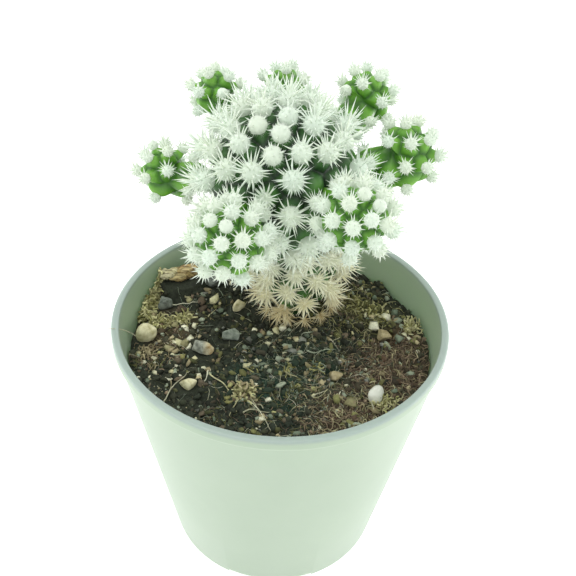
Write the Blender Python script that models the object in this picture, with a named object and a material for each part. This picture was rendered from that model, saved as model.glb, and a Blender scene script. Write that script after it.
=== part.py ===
# Potted thimble cactus: a mother stem with seven offsets in a small plastic nursery pot.
# Metres, +Z up. The front of the plant looks along -Y, and the origin is the middle of the
# pot's foot.

import random
from math import atan2, cos, hypot, pi, radians, sin, tau

import bmesh
import bpy
import numpy as np
from mathutils import Matrix, Vector, noise
from mathutils.bvhtree import BVHTree
from mathutils.geometry import delaunay_2d_cdt, interpolate_bezier

MM = 0.001
GAP = 0.3 * MM                    # clearance between pieces that touch
SEED = 11
GOLDEN_ANGLE = radians(137.508)

# Pot
POT_HEIGHT = 47 * MM
RIM_RADIUS = 27.5 * MM
WALL_TOP_RADIUS = 27.1 * MM
FOOT_RADIUS = 19.4 * MM
WALL = 0.9 * MM
RIM_BAND = 1.7 * MM               # height of the rim
RIM_WIDTH = 1.2 * MM
FLOOR_UNDERSIDE = 1.1 * MM
FLOOR_TOP = 2.1 * MM
FOOT_RING_WIDTH = 1.4 * MM
FOOT_NOTCH = (15 * MM, 0.8 * MM)  # width and height
POT_SIDES = 36
DRAIN_HOLES = 5
DRAIN_RADIUS = 2.4 * MM
DRAIN_CIRCLE = 11 * MM

# Soil
SOIL_LEVEL = 40.6 * MM
SOIL_STEP = 1.75 * MM             # distance between the points of its surface
CRUMB = 1.7 * MM                  # height of a crumb over the hollows between crumbs
CRUMB_SIZE = 3.6 * MM
MOUND = (Vector((-17.5, 13.5, 0)) * MM, 2.3 * MM, 5.5 * MM)    # place, height, spread

# Mother stem, with its radii at the tips of the tubercles
STEM_FOOT = Vector((2.6, 10.5, 33)) * MM
STEM_BEND = 42.0 * MM             # height where the stem starts to lean
STEM_FOOT_RADIUS = 4.4 * MM
STEM_FLARE = (4.2 * MM, 6 * MM)   # how the stem widens above its bend, outwards and up
HEAD_CENTRE = Vector((-0.9, 6.5, 68.8)) * MM
HEAD_RADIUS = 12.0 * MM
HEAD_AXIS = Vector((-0.12, -0.50, 0.85)).normalized()
HEAD_STRAIGHT = 3.0 * MM          # how far its middle line stays straight below the centre
HEAD_TURN_UNDER = radians(104)    # the part of the head that is round, from its apex
HEAD_EASE = 7 * MM                # how softly the head goes over into the stem
SEAT_RADIUS = 10.7 * MM           # distance of the offsets' seats from the head's centre
SEAT_MARGIN = 0.2 * MM            # of a seat round an offset's neck
SEAT_SIDES = 8                    # corners of a seat and of a neck

# Offsets: middle and radius at the tubercle tips, neck radius, distance between areoles
OFFSETS = {
    "offset_front_left": ((-7.2, -10.5, 68.7), 5.2, 2.4, 3.1),
    "offset_front_right": ((9.9, -8.5, 71.6), 4.9, 2.4, 3.1),
    "offset_right": ((18.4, 10.5, 71.6), 5.0, 2.2, 3.8),
    "offset_back_right": ((12.2, 20.0, 76.6), 4.3, 2.0, 3.7),
    "offset_back": ((-1.1, 21.8, 76.3), 3.8, 1.8, 3.6),
    "offset_back_left": ((-12.1, 20.3, 75.8), 3.9, 1.8, 3.6),
    "offset_left": ((-19.7, 12.5, 65.7), 4.2, 1.8, 3.7),
}
OFFSET_RISE = 0.55                # how far an offset turns up from its neck's direction
OFFSET_TURN_UNDER = radians(115)
OFFSET_EASE = 1.2 * MM

# Areoles. The spacing holds (share of the way down, distance in mm or over the offset's own),
# and the other sizes are over that distance.
MOTHER_AREOLES = dict(spacing=((0, 3.6), (0.3, 5.2), (0.6, 5.2), (1, 4.5)), cushion=0.34,
                      reach=0.64, tubercle=0.27, last=1.2 * MM)
FULL_AREOLES = dict(spacing=((0, 0.85), (0.3, 1), (1, 1)), cushion=0.36, reach=0.56,
                    tubercle=0.2, last=0.8 * MM)
SPARSE_AREOLES = dict(FULL_AREOLES, cushion=0.3, reach=0.46, tubercle=0.16)
SPARSE_FROM = 3.3                 # distance between areoles, mm, from which they are sparse
SQUEEZE_DROPS = (0, 1.2 * MM, 2.2 * MM)                        # of a star beside an offset
SMALLEST_STAR = 0.45              # of a squeezed star, over its full size
CROWDED = 0.7                     # least distance between areoles, over their spacing
NECK_CLEAR = 0.55 * MM            # between the mother's areoles and the offsets' necks
MOTHER_CLEAR = 0.5 * MM           # between the offsets' areoles and the mother head

# Spine stars
MOTHER_RING = 6                   # points in each ring of a star's cushion
OFFSET_RING = 5
CROWN_RISE = 0.55                 # height of a cushion over its radius
INNER_RISE = 0.46
INNER_RING = 0.42                 # radius of the inner ring over the cushion's radius
RING_TWIST = 0.2                  # turn of a spine from the middle of its face, radians
INNER_TILT = radians(30)          # of the steep spines from the star's axis
OUTER_TILT = radians(70)          # of the spreading spines
SPINE_SAMPLES = 24                # points tested along a spine
SPINE_CLEAR = 0.08 * MM           # between spines of one head
SPINE_TRIES = ((1, 1), (0.8, 1), (0.6, 1), (1, 0.75), (0.7, 0.75), (0.8, 0.55), (0.45, 0.55))

# Loose pieces on the soil: place (x, y), size (length, width, height), turn in degrees
STONES = {
    "pebble_white": ((15.4, -12.0), (2.6, 3.3, 2.3), -15),
    "stone_two_tone": ((-12.7, -3.1), (3.8, 3.0, 2.2), -25),
    "stone_green_grey": ((-8.4, 0.4), (3.2, 2.4, 1.9), 10),
    "pebble_cream_left": ((-14.2, -11.2), (2.9, 1.9, 1.5), 5),
    "stone_grey_left": ((-20.3, 7.4), (3.2, 2.5, 1.9), 50),
    "stone_grey_back": ((-12.6, 14.2), (4.2, 3.2, 2.4), -10),
    "chip_cream_soft": ((-7.6, 7.6), (3.0, 2.2, 1.7), 35),
    "stone_tan_right": ((17.6, 2.6), (3.0, 2.3, 1.7), -40),
    "chip_tan_front": ((9.2, -7.6), (2.8, 2.0, 1.3), 15),
    "lump_tan": ((-22.6, -0.2), (3.8, 3.2, 3.0), 0),
}
STONE_POINTS = 17
CHIP = ((-18.3, 13.2), (7.0, 3.6, 1.5), 32)                    # bark chip, as the stones


def clear_scene():
    for item in list(bpy.data.objects):
        bpy.data.objects.remove(item, do_unlink=True)


def make_material(name, colour, roughness, metallic=0.0):
    material = bpy.data.materials.new(name)
    material.use_nodes = True
    shader = material.node_tree.nodes["Principled BSDF"]
    shader.inputs["Base Color"].default_value = (*colour, 1)
    shader.inputs["Roughness"].default_value = roughness
    shader.inputs["Metallic"].default_value = metallic
    return material


def make_object(name, bm, *materials):
    mesh = bpy.data.meshes.new(name)
    bm.to_mesh(mesh)
    bm.free()
    for material in materials:
        mesh.materials.append(material)
    item = bpy.data.objects.new(name, mesh)
    bpy.context.collection.objects.link(item)
    return item


def shade_round(item, degrees):
    item.data.shade_smooth()
    item.data.set_sharp_from_angle(angle=radians(degrees))


def make_cutter(name, bm):
    cutter = make_object(name, bm)
    cutter.hide_render = True
    cutter.display_type = "WIRE"
    return cutter


def cut(item, cutter):
    modifier = item.modifiers.new(cutter.name, "BOOLEAN")
    modifier.object = cutter
    modifier.operation = "DIFFERENCE"


# Pot

def wall_radius(z):
    return FOOT_RADIUS + (WALL_TOP_RADIUS - FOOT_RADIUS) * z / (POT_HEIGHT - RIM_BAND)


def inner_radius(z):
    return wall_radius(z) - WALL


def pot_profile():
    band = POT_HEIGHT - RIM_BAND
    edge = 0.3 * MM
    inner_rim = RIM_RADIUS - RIM_WIDTH
    foot_inside = FOOT_RADIUS - FOOT_RING_WIDTH
    return [
        (0, FLOOR_UNDERSIDE),
        (foot_inside, FLOOR_UNDERSIDE),
        (foot_inside, 0),
        (FOOT_RADIUS - edge, 0),
        (wall_radius(edge), edge),
        (wall_radius(band), band),
        (RIM_RADIUS, band + edge),
        (RIM_RADIUS, POT_HEIGHT - edge),
        (RIM_RADIUS - edge, POT_HEIGHT),
        (inner_rim + edge, POT_HEIGHT),
        (inner_rim, POT_HEIGHT - edge),
        (inner_radius(band - edge), band - edge),
        (inner_radius(FLOOR_TOP), FLOOR_TOP),
        (0, FLOOR_TOP),
    ]


def make_pot(material):
    bm = bmesh.new()
    verts = [bm.verts.new((r, 0, z)) for r, z in pot_profile()]
    edges = [bm.edges.new(pair) for pair in zip(verts, verts[1:])]
    bmesh.ops.spin(bm, geom=verts + edges, cent=(0, 0, 0), axis=(0, 0, 1), angle=tau,
                   steps=POT_SIDES, use_merge=True)
    bmesh.ops.remove_doubles(bm, verts=bm.verts, dist=0.001 * MM)
    bmesh.ops.recalc_face_normals(bm, faces=bm.faces)
    pot = make_object("pot", bm, material)
    shade_round(pot, 35)
    cut_notches(pot)
    cut_drain_holes(pot)
    return pot


def cut_notches(pot):
    width, height = FOOT_NOTCH
    for index in range(2):
        bm = bmesh.new()
        size = Matrix.Diagonal((width, 3 * FOOT_RADIUS, 2 * height, 1))
        turn = Matrix.Rotation(index * pi / 2, 4, "Z")
        bmesh.ops.create_cube(bm, size=1, matrix=turn @ size)
        cut(pot, make_cutter("notch_cutter_" + str(index), bm))


def cut_drain_holes(pot):
    for index in range(DRAIN_HOLES):
        angle = (index + 0.25) * tau / DRAIN_HOLES
        place = Vector((cos(angle), sin(angle), 0)) * DRAIN_CIRCLE
        bm = bmesh.new()
        bmesh.ops.create_cone(bm, cap_ends=True, segments=16, radius1=DRAIN_RADIUS,
                              radius2=DRAIN_RADIUS, depth=4 * FLOOR_TOP,
                              matrix=Matrix.Translation(place))
        cut(pot, make_cutter("drain_cutter_" + str(index), bm))


# Soil

def ground_height(x, y, seats):
    for place, reach, level in seats:
        if hypot(x - place.x, y - place.y) < reach:
            return level
    return open_ground_height(x, y)


def open_ground_height(x, y):
    place = Vector((x, y, 0))
    crumbs = noise.voronoi(place / CRUMB_SIZE)[0][0]
    swell = noise.noise(place / (9 * MM))
    mound_place, mound_height, mound_spread = MOUND
    mound = mound_height * 2 ** -((place - mound_place).length / mound_spread) ** 2
    return SOIL_LEVEL + mound + CRUMB * (0.6 - crumbs) + 0.5 * MM * swell


def seat_list():
    seats = []
    pieces = list(STONES.values()) + [CHIP]
    for (x, y), (length, width, height), turn in pieces:
        place = Vector((x, y, 0)) * MM
        reach = (length / 2 + 0.9) * MM
        seats.append((place, reach, open_ground_height(place.x, place.y)))
    return seats


def soil_points(seats):
    rng = random.Random(SEED)
    hole = STEM_FOOT_RADIUS + GAP
    edge = inner_radius(SOIL_LEVEL) - GAP
    points = []
    rows = int(edge / SOIL_STEP) + 2
    for row in range(-rows, rows + 1):
        for column in range(-rows, rows + 1):
            x = (column + 0.5 * (row % 2)) * SOIL_STEP + rng.uniform(-0.25, 0.25) * SOIL_STEP
            y = row * SOIL_STEP * 0.87 + rng.uniform(-0.25, 0.25) * SOIL_STEP
            near_edge = hypot(x, y) > edge - 0.6 * SOIL_STEP
            near_hole = hypot(x - STEM_FOOT.x, y - STEM_FOOT.y) < hole + 0.5 * SOIL_STEP
            if not near_edge and not near_hole:
                points.append((x, y, ground_height(x, y, seats)))
    return points


def make_soil(seats, material):
    edge_count = POT_SIDES
    hole_count = 16
    hole = STEM_FOOT_RADIUS + GAP
    edge_points = []
    for index in range(edge_count):
        angle = index * tau / edge_count
        reach = inner_radius(SOIL_LEVEL)
        z = open_ground_height(reach * cos(angle), reach * sin(angle)) - 0.2 * MM
        reach = inner_radius(z) - GAP
        edge_points.append((reach * cos(angle), reach * sin(angle), z))
    hole_points = []
    for index in range(hole_count):
        angle = index * tau / hole_count
        x = STEM_FOOT.x + hole * cos(angle)
        y = STEM_FOOT.y + hole * sin(angle)
        hole_points.append((x, y, SOIL_LEVEL))
    points = edge_points + hole_points + soil_points(seats)

    flat = [Vector(point[:2]) for point in points]
    edge_ids = list(range(edge_count))
    hole_ids = list(range(edge_count, edge_count + hole_count))
    rims = [pair for ids in (edge_ids, hole_ids) for pair in zip(ids, ids[1:] + ids[:1])]
    triangles = delaunay_2d_cdt(flat, rims, [], 0, 1e-7)[2]

    bm = bmesh.new()
    verts = [bm.verts.new(point) for point in points]
    for triangle in triangles:
        if not all(index in hole_ids for index in triangle):
            bm.faces.new([verts[index] for index in triangle])
    edge_verts = verts[:edge_count]
    hole_verts = verts[edge_count:edge_count + hole_count]
    bottom = FLOOR_TOP + GAP
    extend_rim(bm, edge_verts, lambda co: round_point(co, inner_radius(bottom) - GAP, bottom))
    extend_rim(bm, hole_verts, lambda co: Vector((co.x, co.y, STEM_FOOT.z - GAP)))
    bmesh.ops.recalc_face_normals(bm, faces=bm.faces)
    soil = make_object("soil", bm, material)
    shade_round(soil, 20)
    return soil


def round_point(co, radius, z):
    angle = atan2(co.y, co.x)
    return Vector((radius * cos(angle), radius * sin(angle), z))


def extend_rim(bm, rim_verts, place):
    rim = set(rim_verts)
    edges = [edge for edge in bm.edges if edge.is_boundary and set(edge.verts) <= rim]
    made = bmesh.ops.extrude_edge_only(bm, edges=edges)["geom"]
    new_edges = [item for item in made if isinstance(item, bmesh.types.BMEdge)]
    new_verts = [item for item in made if isinstance(item, bmesh.types.BMVert)]
    for vert in new_verts:
        vert.co = place(vert.co)
    bmesh.ops.contextual_create(bm, geom=[edge for edge in new_edges if edge.is_boundary])


# Loose pieces

def make_stone(name, place, size, turn, level, material, seed):
    rng = random.Random(seed)
    length, width, height = size
    bm = bmesh.new()
    for index in range(STONE_POINTS):
        up = 1 - 2 * (index + 0.5) / STONE_POINTS
        angle = index * 2.4 + rng.uniform(-0.3, 0.3)
        around = (1 - up * up) ** 0.5
        reach = rng.uniform(0.86, 1.0)
        co = Vector((around * cos(angle), around * sin(angle), max(up, -0.6) + 0.6)) * reach
        co.z = max(co.z, 0.0)
        bm.verts.new((co.x * length / 2, co.y * width / 2, co.z * height / 1.6))
    bmesh.ops.convex_hull(bm, input=bm.verts)
    loose = [vert for vert in bm.verts if not vert.link_faces]
    bmesh.ops.delete(bm, geom=loose, context="VERTS")
    bmesh.ops.scale(bm, vec=(MM, MM, MM), verts=bm.verts)
    bmesh.ops.recalc_face_normals(bm, faces=bm.faces)
    stone = make_object(name, bm, material)
    stone.location = (place[0] * MM, place[1] * MM, level + GAP)
    stone.rotation_euler.z = radians(turn)


def make_chip(level, material):
    rng = random.Random(SEED)
    place, (length, width, height), turn = CHIP
    bm = bmesh.new()
    bmesh.ops.create_grid(bm, x_segments=5, y_segments=3, size=0.5)
    for vert in bm.verts:
        ends = 1 - 0.35 * abs(2 * vert.co.x) ** 3
        vert.co.x *= length * rng.uniform(0.92, 1)
        vert.co.y *= width * ends * rng.uniform(0.85, 1)
    made = bmesh.ops.extrude_face_region(bm, geom=bm.faces[:])["geom"]
    for vert in made:
        if isinstance(vert, bmesh.types.BMVert):
            vert.co.z += height * rng.uniform(0.7, 1)
    bmesh.ops.scale(bm, vec=(MM, MM, MM), verts=bm.verts)
    bmesh.ops.recalc_face_normals(bm, faces=bm.faces)
    chip = make_object("chip_bark", bm, material)
    chip.location = (place[0] * MM, place[1] * MM, level + GAP)
    chip.rotation_euler.z = radians(turn)


# Heads

def path_lengths(points):
    steps = np.linalg.norm(np.diff(points, axis=0), axis=1)
    return np.concatenate(([0.0], np.cumsum(steps)))


class Head:
    # A turned solid on a bent middle line, covered with areoles. The outline holds points
    # (radius, height along the line) at the tubercle tips, from the apex down to the foot.
    def __init__(self, name, line, radius, foot_radius, collar, turn_under, ease, flare, ring):
        self.name = name
        self.ring = ring
        self.line = np.array(line)
        self.line_at = path_lengths(self.line)
        self.length = self.line_at[-1]
        self.radius = radius
        self.foot_radius = foot_radius
        self.outline = np.array(self.make_outline(collar, turn_under, ease, flare))
        self.s_at = path_lengths(self.outline)
        self.map_at = self.make_map()
        self.areoles = []
        self.plain = []
        self.seats = []

    def make_outline(self, collar, turn_under, ease, flare):
        middle = self.length - self.radius
        steps = 40
        points = []
        for index in range(steps + 1):
            angle = turn_under * index / steps
            points.append((self.radius * sin(angle), middle + self.radius * cos(angle)))
        last = Vector((*points[-1], 0))
        inwards = Vector((cos(turn_under), -sin(turn_under), 0)) * ease
        top_of_collar = Vector((self.foot_radius, collar, 0))
        lift = Vector((*flare, 0))
        neck = interpolate_bezier(last, last + inwards, top_of_collar + lift, top_of_collar, 40)
        points += [(point.x, point.y) for point in neck[1:]]
        if collar > 0:
            points += [(self.foot_radius, collar * (1 - index / 20)) for index in range(1, 21)]
        return points

    def make_map(self):
        # Radius of each outline point on a flat map that keeps small shapes true, so that
        # neighbours on the map are neighbours on the head.
        radii = (self.outline[1:, 0] + self.outline[:-1, 0]) / 2
        growth = np.diff(self.s_at)[1:] / radii[1:]
        first = self.s_at[1]
        return np.concatenate(([0.0, first], first * np.exp(np.cumsum(growth))))

    def s_of_height(self, height):
        return float(np.interp(-height, -self.outline[:, 1], self.s_at))

    def centre(self, height):
        return Vector([np.interp(height, self.line_at, self.line[:, axis]) for axis in range(3)])

    def turn(self, height):
        reach = 0.02 * self.length
        low = min(max(height - reach, 0.0), self.length - 2 * reach)
        along = self.centre(low + 2 * reach) - self.centre(low)
        return Vector((0, 0, 1)).rotation_difference(along)

    def point(self, s, angle):
        radius = float(np.interp(s, self.s_at, self.outline[:, 0]))
        height = float(np.interp(s, self.s_at, self.outline[:, 1]))
        around = Vector((radius * cos(angle), radius * sin(angle), 0))
        return self.centre(height) + self.turn(height) @ around

    def site(self, s, angle):
        # A place on the head with its tangents, normal, map position and map scale
        step = 0.1 * MM
        radius = max(float(np.interp(s, self.s_at, self.outline[:, 0])), step)
        down = self.point(min(s + step, self.s_at[-1]), angle) - self.point(s, angle)
        if s + step > self.s_at[-1]:
            down = self.point(s, angle) - self.point(s - step, angle)
        side = self.point(s, angle + step / radius) - self.point(s, angle - step / radius)
        down.normalize()
        side = (side - down * side.dot(down)).normalized()
        reach = float(np.interp(s, self.s_at, self.map_at))
        return {
            "co": self.point(s, angle), "down": down, "side": side, "normal": down.cross(side),
            "flat": Vector((reach * cos(angle), reach * sin(angle))),
            "flat_down": Vector((cos(angle), sin(angle))),
            "flat_side": Vector((-sin(angle), cos(angle))),
            "scale": reach / radius,
        }

    def add_areoles(self, form, last_height, unit, keep):
        # Golden-angle lattice, with one areole for each hexagonal cell of the local spacing
        last = self.s_of_height(last_height)
        s = np.linspace(0, last, 400)
        radius = np.interp(s, self.s_at, self.outline[:, 0])
        gaps = np.interp(s, [share * last for share, gap in form["spacing"]],
                         [gap * unit for share, gap in form["spacing"]])
        density = tau * radius / (0.866 * gaps ** 2)
        count_at = np.concatenate(([0], np.cumsum((density[1:] + density[:-1]) / 2 * s[1])))
        placed = []
        for index in range(int(count_at[-1])):
            place = float(np.interp(index + 0.5, count_at, s))
            site = self.site(place, index * GOLDEN_ANGLE)
            gap = float(np.interp(place, s, gaps))
            if any((site["co"] - co).length < CROWDED * gap for co in placed[-30:]):
                continue
            for key in ("cushion", "reach", "tubercle"):
                site[key] = form[key] * gap
            if keep(site):
                self.areoles.append(site)
            placed.append(site["co"])

    def add_ring(self, height, count):
        s = self.s_of_height(height)
        for index in range(count):
            self.plain.append(self.site(s, index * tau / count))

    def distance(self, co):
        # From co to the head's outline, less than zero inside it
        gaps = []
        for radius, height in self.outline[::4]:
            gaps.append((co - self.centre(height)).length - radius)
        return min(gaps)


def ring_site(site, radius, angle, lift):
    shift = site["down"] * cos(angle) + site["side"] * sin(angle)
    flat_shift = site["flat_down"] * cos(angle) + site["flat_side"] * sin(angle)
    return (site["co"] + shift * radius + site["normal"] * lift,
            site["flat"] + flat_shift * radius * site["scale"])


def cap_points(site, ring):
    # Cushion of an areole: a crown point and two staggered rings
    cushion = site["cushion"]
    points = [ring_site(site, 0, 0, CROWN_RISE * cushion)]
    for index in range(ring):
        angle = index * tau / ring
        points.append(ring_site(site, INNER_RING * cushion, angle, INNER_RISE * cushion))
    for index in range(ring):
        angle = (index + 0.5) * tau / ring
        points.append(ring_site(site, cushion, angle, 0))
    return points


def valley_points(head):
    # One low point in each triangle of areoles, and the links between neighbouring valleys
    sites = head.areoles + head.plain
    count = len(head.areoles)
    triangles = delaunay_2d_cdt([site["flat"] for site in sites], [], [], 0, 1e-9)[2]
    points = []
    edge_owner = {}
    links = []
    for triangle in triangles:
        if max(triangle) >= count:
            continue
        corners = [sites[index] for index in triangle]
        co = sum((site["co"] for site in corners), Vector()) / 3
        normal = sum((site["normal"] for site in corners), Vector()).normalized()
        depth = sum(site["tubercle"] for site in corners) / 3
        flat = sum((site["flat"] for site in corners), Vector((0, 0))) / 3
        for pair in zip(triangle, list(triangle[1:]) + [triangle[0]]):
            key = frozenset(pair)
            if key in edge_owner:
                links.append((edge_owner[key], len(points)))
            edge_owner[key] = len(points)
        points.append((co - normal * depth, flat))
    return points, links


def make_flesh(head):
    valleys, links = valley_points(head)
    points = list(valleys)
    points += [(site["co"], site["flat"]) for site in head.plain]
    for seat in head.seats:
        first = len(valleys) + seat
        links += [(first + index, first + (index + 1) % SEAT_SIDES)
                  for index in range(SEAT_SIDES)]
    for site in head.areoles:
        site["first"] = len(points)
        points += cap_points(site, head.ring)
    flat = [point[1] for point in points]
    faces = delaunay_2d_cdt(flat, links, [], 0, 1e-9)[2]
    bm = bmesh.new()
    verts = [bm.verts.new(point[0]) for point in points]
    bm.verts.index_update()
    for face in faces:
        bm.faces.new([verts[index] for index in face])
    bmesh.ops.contextual_create(bm, geom=[edge for edge in bm.edges if edge.is_boundary])
    bmesh.ops.recalc_face_normals(bm, faces=bm.faces)
    head.bm = bm
    head.faces = {frozenset(vert.index for vert in face.verts): face for face in bm.faces}
    head.tree = BVHTree.FromBMesh(bm)


def mother_head():
    bend = Vector((STEM_FOOT.x, STEM_FOOT.y, STEM_BEND))
    knee = HEAD_CENTRE - HEAD_AXIS * HEAD_STRAIGHT
    lean = interpolate_bezier(bend, bend + Vector((0, 0, 9 * MM)), knee - HEAD_AXIS * 9 * MM,
                              knee, 24)
    line = [STEM_FOOT] + lean + [HEAD_CENTRE, HEAD_CENTRE + HEAD_AXIS * HEAD_RADIUS]
    return Head("mother_stem", line, HEAD_RADIUS, STEM_FOOT_RADIUS, STEM_BEND - STEM_FOOT.z,
                HEAD_TURN_UNDER, HEAD_EASE, STEM_FLARE, MOTHER_RING)


def offset_head(name):
    middle, radius, neck, spacing = OFFSETS[name]
    middle = Vector(middle) * MM
    out = (middle - HEAD_CENTRE).normalized()
    foot = HEAD_CENTRE + out * (SEAT_RADIUS + GAP)
    axis = out.lerp(Vector((0, 0, 1)), OFFSET_RISE).normalized()
    ease = (middle - foot).length / 3
    bent = interpolate_bezier(foot, foot + out * ease, middle - axis * ease, middle, 16)
    line = bent + [middle + axis * radius * MM]
    head = Head(name, line, radius * MM, neck * MM, 0, OFFSET_TURN_UNDER, OFFSET_EASE,
                (0, OFFSET_EASE), OFFSET_RING)
    head.out = out
    return head


def add_seat(mother, head):
    # A flat place on the mother head, facing the foot of an offset
    turned = mother.turn(mother.length - mother.radius).inverted() @ head.out
    tilt = Vector((0, 0, 1)).angle(turned)
    angle = atan2(turned.y, turned.x)
    site = mother.site(mother.radius * tilt, angle)
    side = head.out.cross(site["down"]).normalized()
    down = side.cross(head.out)
    centre = HEAD_CENTRE + head.out * SEAT_RADIUS
    seat = dict(site, co=centre, normal=head.out, down=down, side=side)
    mother.plain.append(seat)
    mother.seats.append(len(mother.plain))
    for index in range(SEAT_SIDES):
        turn = index * tau / SEAT_SIDES
        co, flat = ring_site(seat, head.foot_radius + SEAT_MARGIN, turn, 0)
        mother.plain.append(dict(seat, co=co, flat=flat))


# Spines

class SpineStore:
    # Every spine grown so far: its base, tip, base radius, head and star
    def __init__(self):
        self.rows = []

    def near(self, co, reach):
        if not self.rows:
            return np.zeros((0, 9))
        table = np.array(self.rows)
        return table[np.linalg.norm(table[:, 0:3] - np.array(co), axis=1) < reach]

    def add(self, base, tip, radius, head_index, star_index):
        self.rows.append((*base, *tip, radius, head_index, star_index))


def spine_gaps(base, tip, radius, others):
    share = np.linspace(0.1, 1, SPINE_SAMPLES)[:, None]
    points = np.array(base) + share * (np.array(tip) - np.array(base))
    start = others[:, 0:3]
    along = others[:, 3:6] - start
    part = np.einsum("ijk,jk->ij", points[:, None] - start, along) / (along ** 2).sum(axis=1)
    part = np.clip(part, 0, 1)
    away = points[:, None] - (start + part[..., None] * along)
    thick = radius * (1 - share) + others[:, 6] * (1 - part)
    return (np.linalg.norm(away, axis=2) - thick).min(axis=0)


def clear_of_solid(tree, base, tip, radius, first, gap):
    for index in range(SPINE_SAMPLES // 2 + 1):
        share = first + (1 - first) * index / (SPINE_SAMPLES // 2)
        co = base.lerp(tip, share)
        if tree.find_nearest(co, radius * (1 - share) + gap)[0] is not None:
            return False
    return True


def spine_fits(base, tip, radius, head, others, solids, head_index, star_index):
    if len(others):
        gaps = spine_gaps(base, tip, radius, others)
        own_head = others[:, 7] == head_index
        own_star = own_head & (others[:, 8] == star_index)
        needed = np.where(own_head, SPINE_CLEAR, GAP)
        if (gaps[~own_star] < needed[~own_star]).any():
            return False
    if not clear_of_solid(head.tree, base, tip, radius, 0.45, SPINE_CLEAR):
        return False
    return all(clear_of_solid(tree, base, tip, radius, 0.0, GAP) for tree in solids)


def star_faces(head, site):
    # The triangles that the steep and the spreading spines are raised from
    first = site["first"]
    ring = head.ring
    inner = [first + 1 + index for index in range(ring)]
    outer = [first + 1 + ring + index for index in range(ring)]
    faces = []
    for index in range(ring):
        turn = (index + 0.5) * tau / ring
        pair = (inner[index], inner[(index + 1) % ring])
        faces.append((frozenset((first, *pair)), turn + RING_TWIST, INNER_TILT))
        faces.append((frozenset((outer[index], *pair)), turn - RING_TWIST, OUTER_TILT))
    return [(head.faces[key], turn, tilt) for key, turn, tilt in faces if key in head.faces]


def grow_spines(head, head_index, store, solids, rng):
    chosen = []
    for star_index, site in enumerate(head.areoles):
        others = store.near(site["co"], 12 * MM)
        star = []
        for face, turn, tilt in star_faces(head, site):
            base = face.calc_center_median()
            radius = 0.45 * max((vert.co - base).length for vert in face.verts)
            size = site["reach"] * rng.uniform(0.86, 1.06)
            wobble = radians(rng.uniform(-7, 7))
            for tilt_share, size_share in SPINE_TRIES:
                lean = tilt * tilt_share + wobble
                flat = site["down"] * cos(turn) + site["side"] * sin(turn)
                aim = flat * sin(lean) + site["normal"] * cos(lean)
                tip = site["co"] + aim * size * size_share
                outwards = (tip - base).normalized().dot(face.normal) > 0.3
                if outwards and spine_fits(base, tip, radius, head, others, solids,
                                           head_index, star_index):
                    star.append((base, tip, radius))
                    chosen.append((face, tip))
                    break
        for base, tip, radius in star:
            store.add(base, tip, radius, head_index, star_index)
    for star_index, site in enumerate(head.areoles):
        paint_cushion(head, site)
    for face, tip in chosen:
        apex = bmesh.ops.poke(head.bm, faces=[face])["verts"][0]
        apex.co = tip


def paint_cushion(head, site):
    first = site["first"]
    cap = set(range(first, first + 1 + 2 * head.ring))
    for key, face in head.faces.items():
        if key <= cap:
            face.material_index = 1


def make_cactus(soil, pot, flesh_materials, spine_material):
    mother = mother_head()
    offsets = [offset_head(name) for name in OFFSETS]
    for head in offsets:
        add_seat(mother, head)

    def room_beside(co, head):
        away = co - HEAD_CENTRE
        room = head.distance(co) - GAP
        if away.dot(head.out) > 0:
            room = min(room, away.cross(head.out).length - head.foot_radius - NECK_CLEAR)
        return room

    def clear_of_offsets(site):
        # A star squeezed by an offset sits lower and is smaller, or is left out
        for drop in SQUEEZE_DROPS:
            co = site["co"] - site["normal"] * drop
            room = min(room_beside(co, head) for head in offsets)
            size = min(1, room / site["cushion"])
            if size > SMALLEST_STAR:
                site["co"] = co
                site["cushion"] *= size
                site["reach"] *= (1 + size) / 2
                return True
        return False

    def clear_of_mother(site):
        return (site["co"] - HEAD_CENTRE).length > HEAD_RADIUS + MOTHER_CLEAR

    bend = STEM_BEND - STEM_FOOT.z
    mother.add_areoles(MOTHER_AREOLES, bend + MOTHER_AREOLES["last"], MM, clear_of_offsets)
    mother.add_ring(bend, 12)
    mother.add_ring(0, 12)
    for head in offsets:
        spacing = OFFSETS[head.name][3]
        form = SPARSE_AREOLES if spacing > SPARSE_FROM else FULL_AREOLES
        head.add_areoles(form, form["last"], spacing * MM, clear_of_mother)
        head.add_ring(0, SEAT_SIDES)

    heads = [mother] + offsets
    for head in heads:
        make_flesh(head)
    store = SpineStore()
    rng = random.Random(SEED)
    for head_index, head in enumerate(heads):
        solids = [other.tree for other in heads if other is not head] + [soil, pot]
        grow_spines(head, head_index, store, solids, rng)
    for head in heads:
        flesh = flesh_materials[0] if head is mother else flesh_materials[1]
        item = make_object(head.name, head.bm, flesh, spine_material)
        shade_round(item, 50)


def solid_tree(item):
    graph = bpy.context.evaluated_depsgraph_get()
    return BVHTree.FromObject(item, graph)


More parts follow.
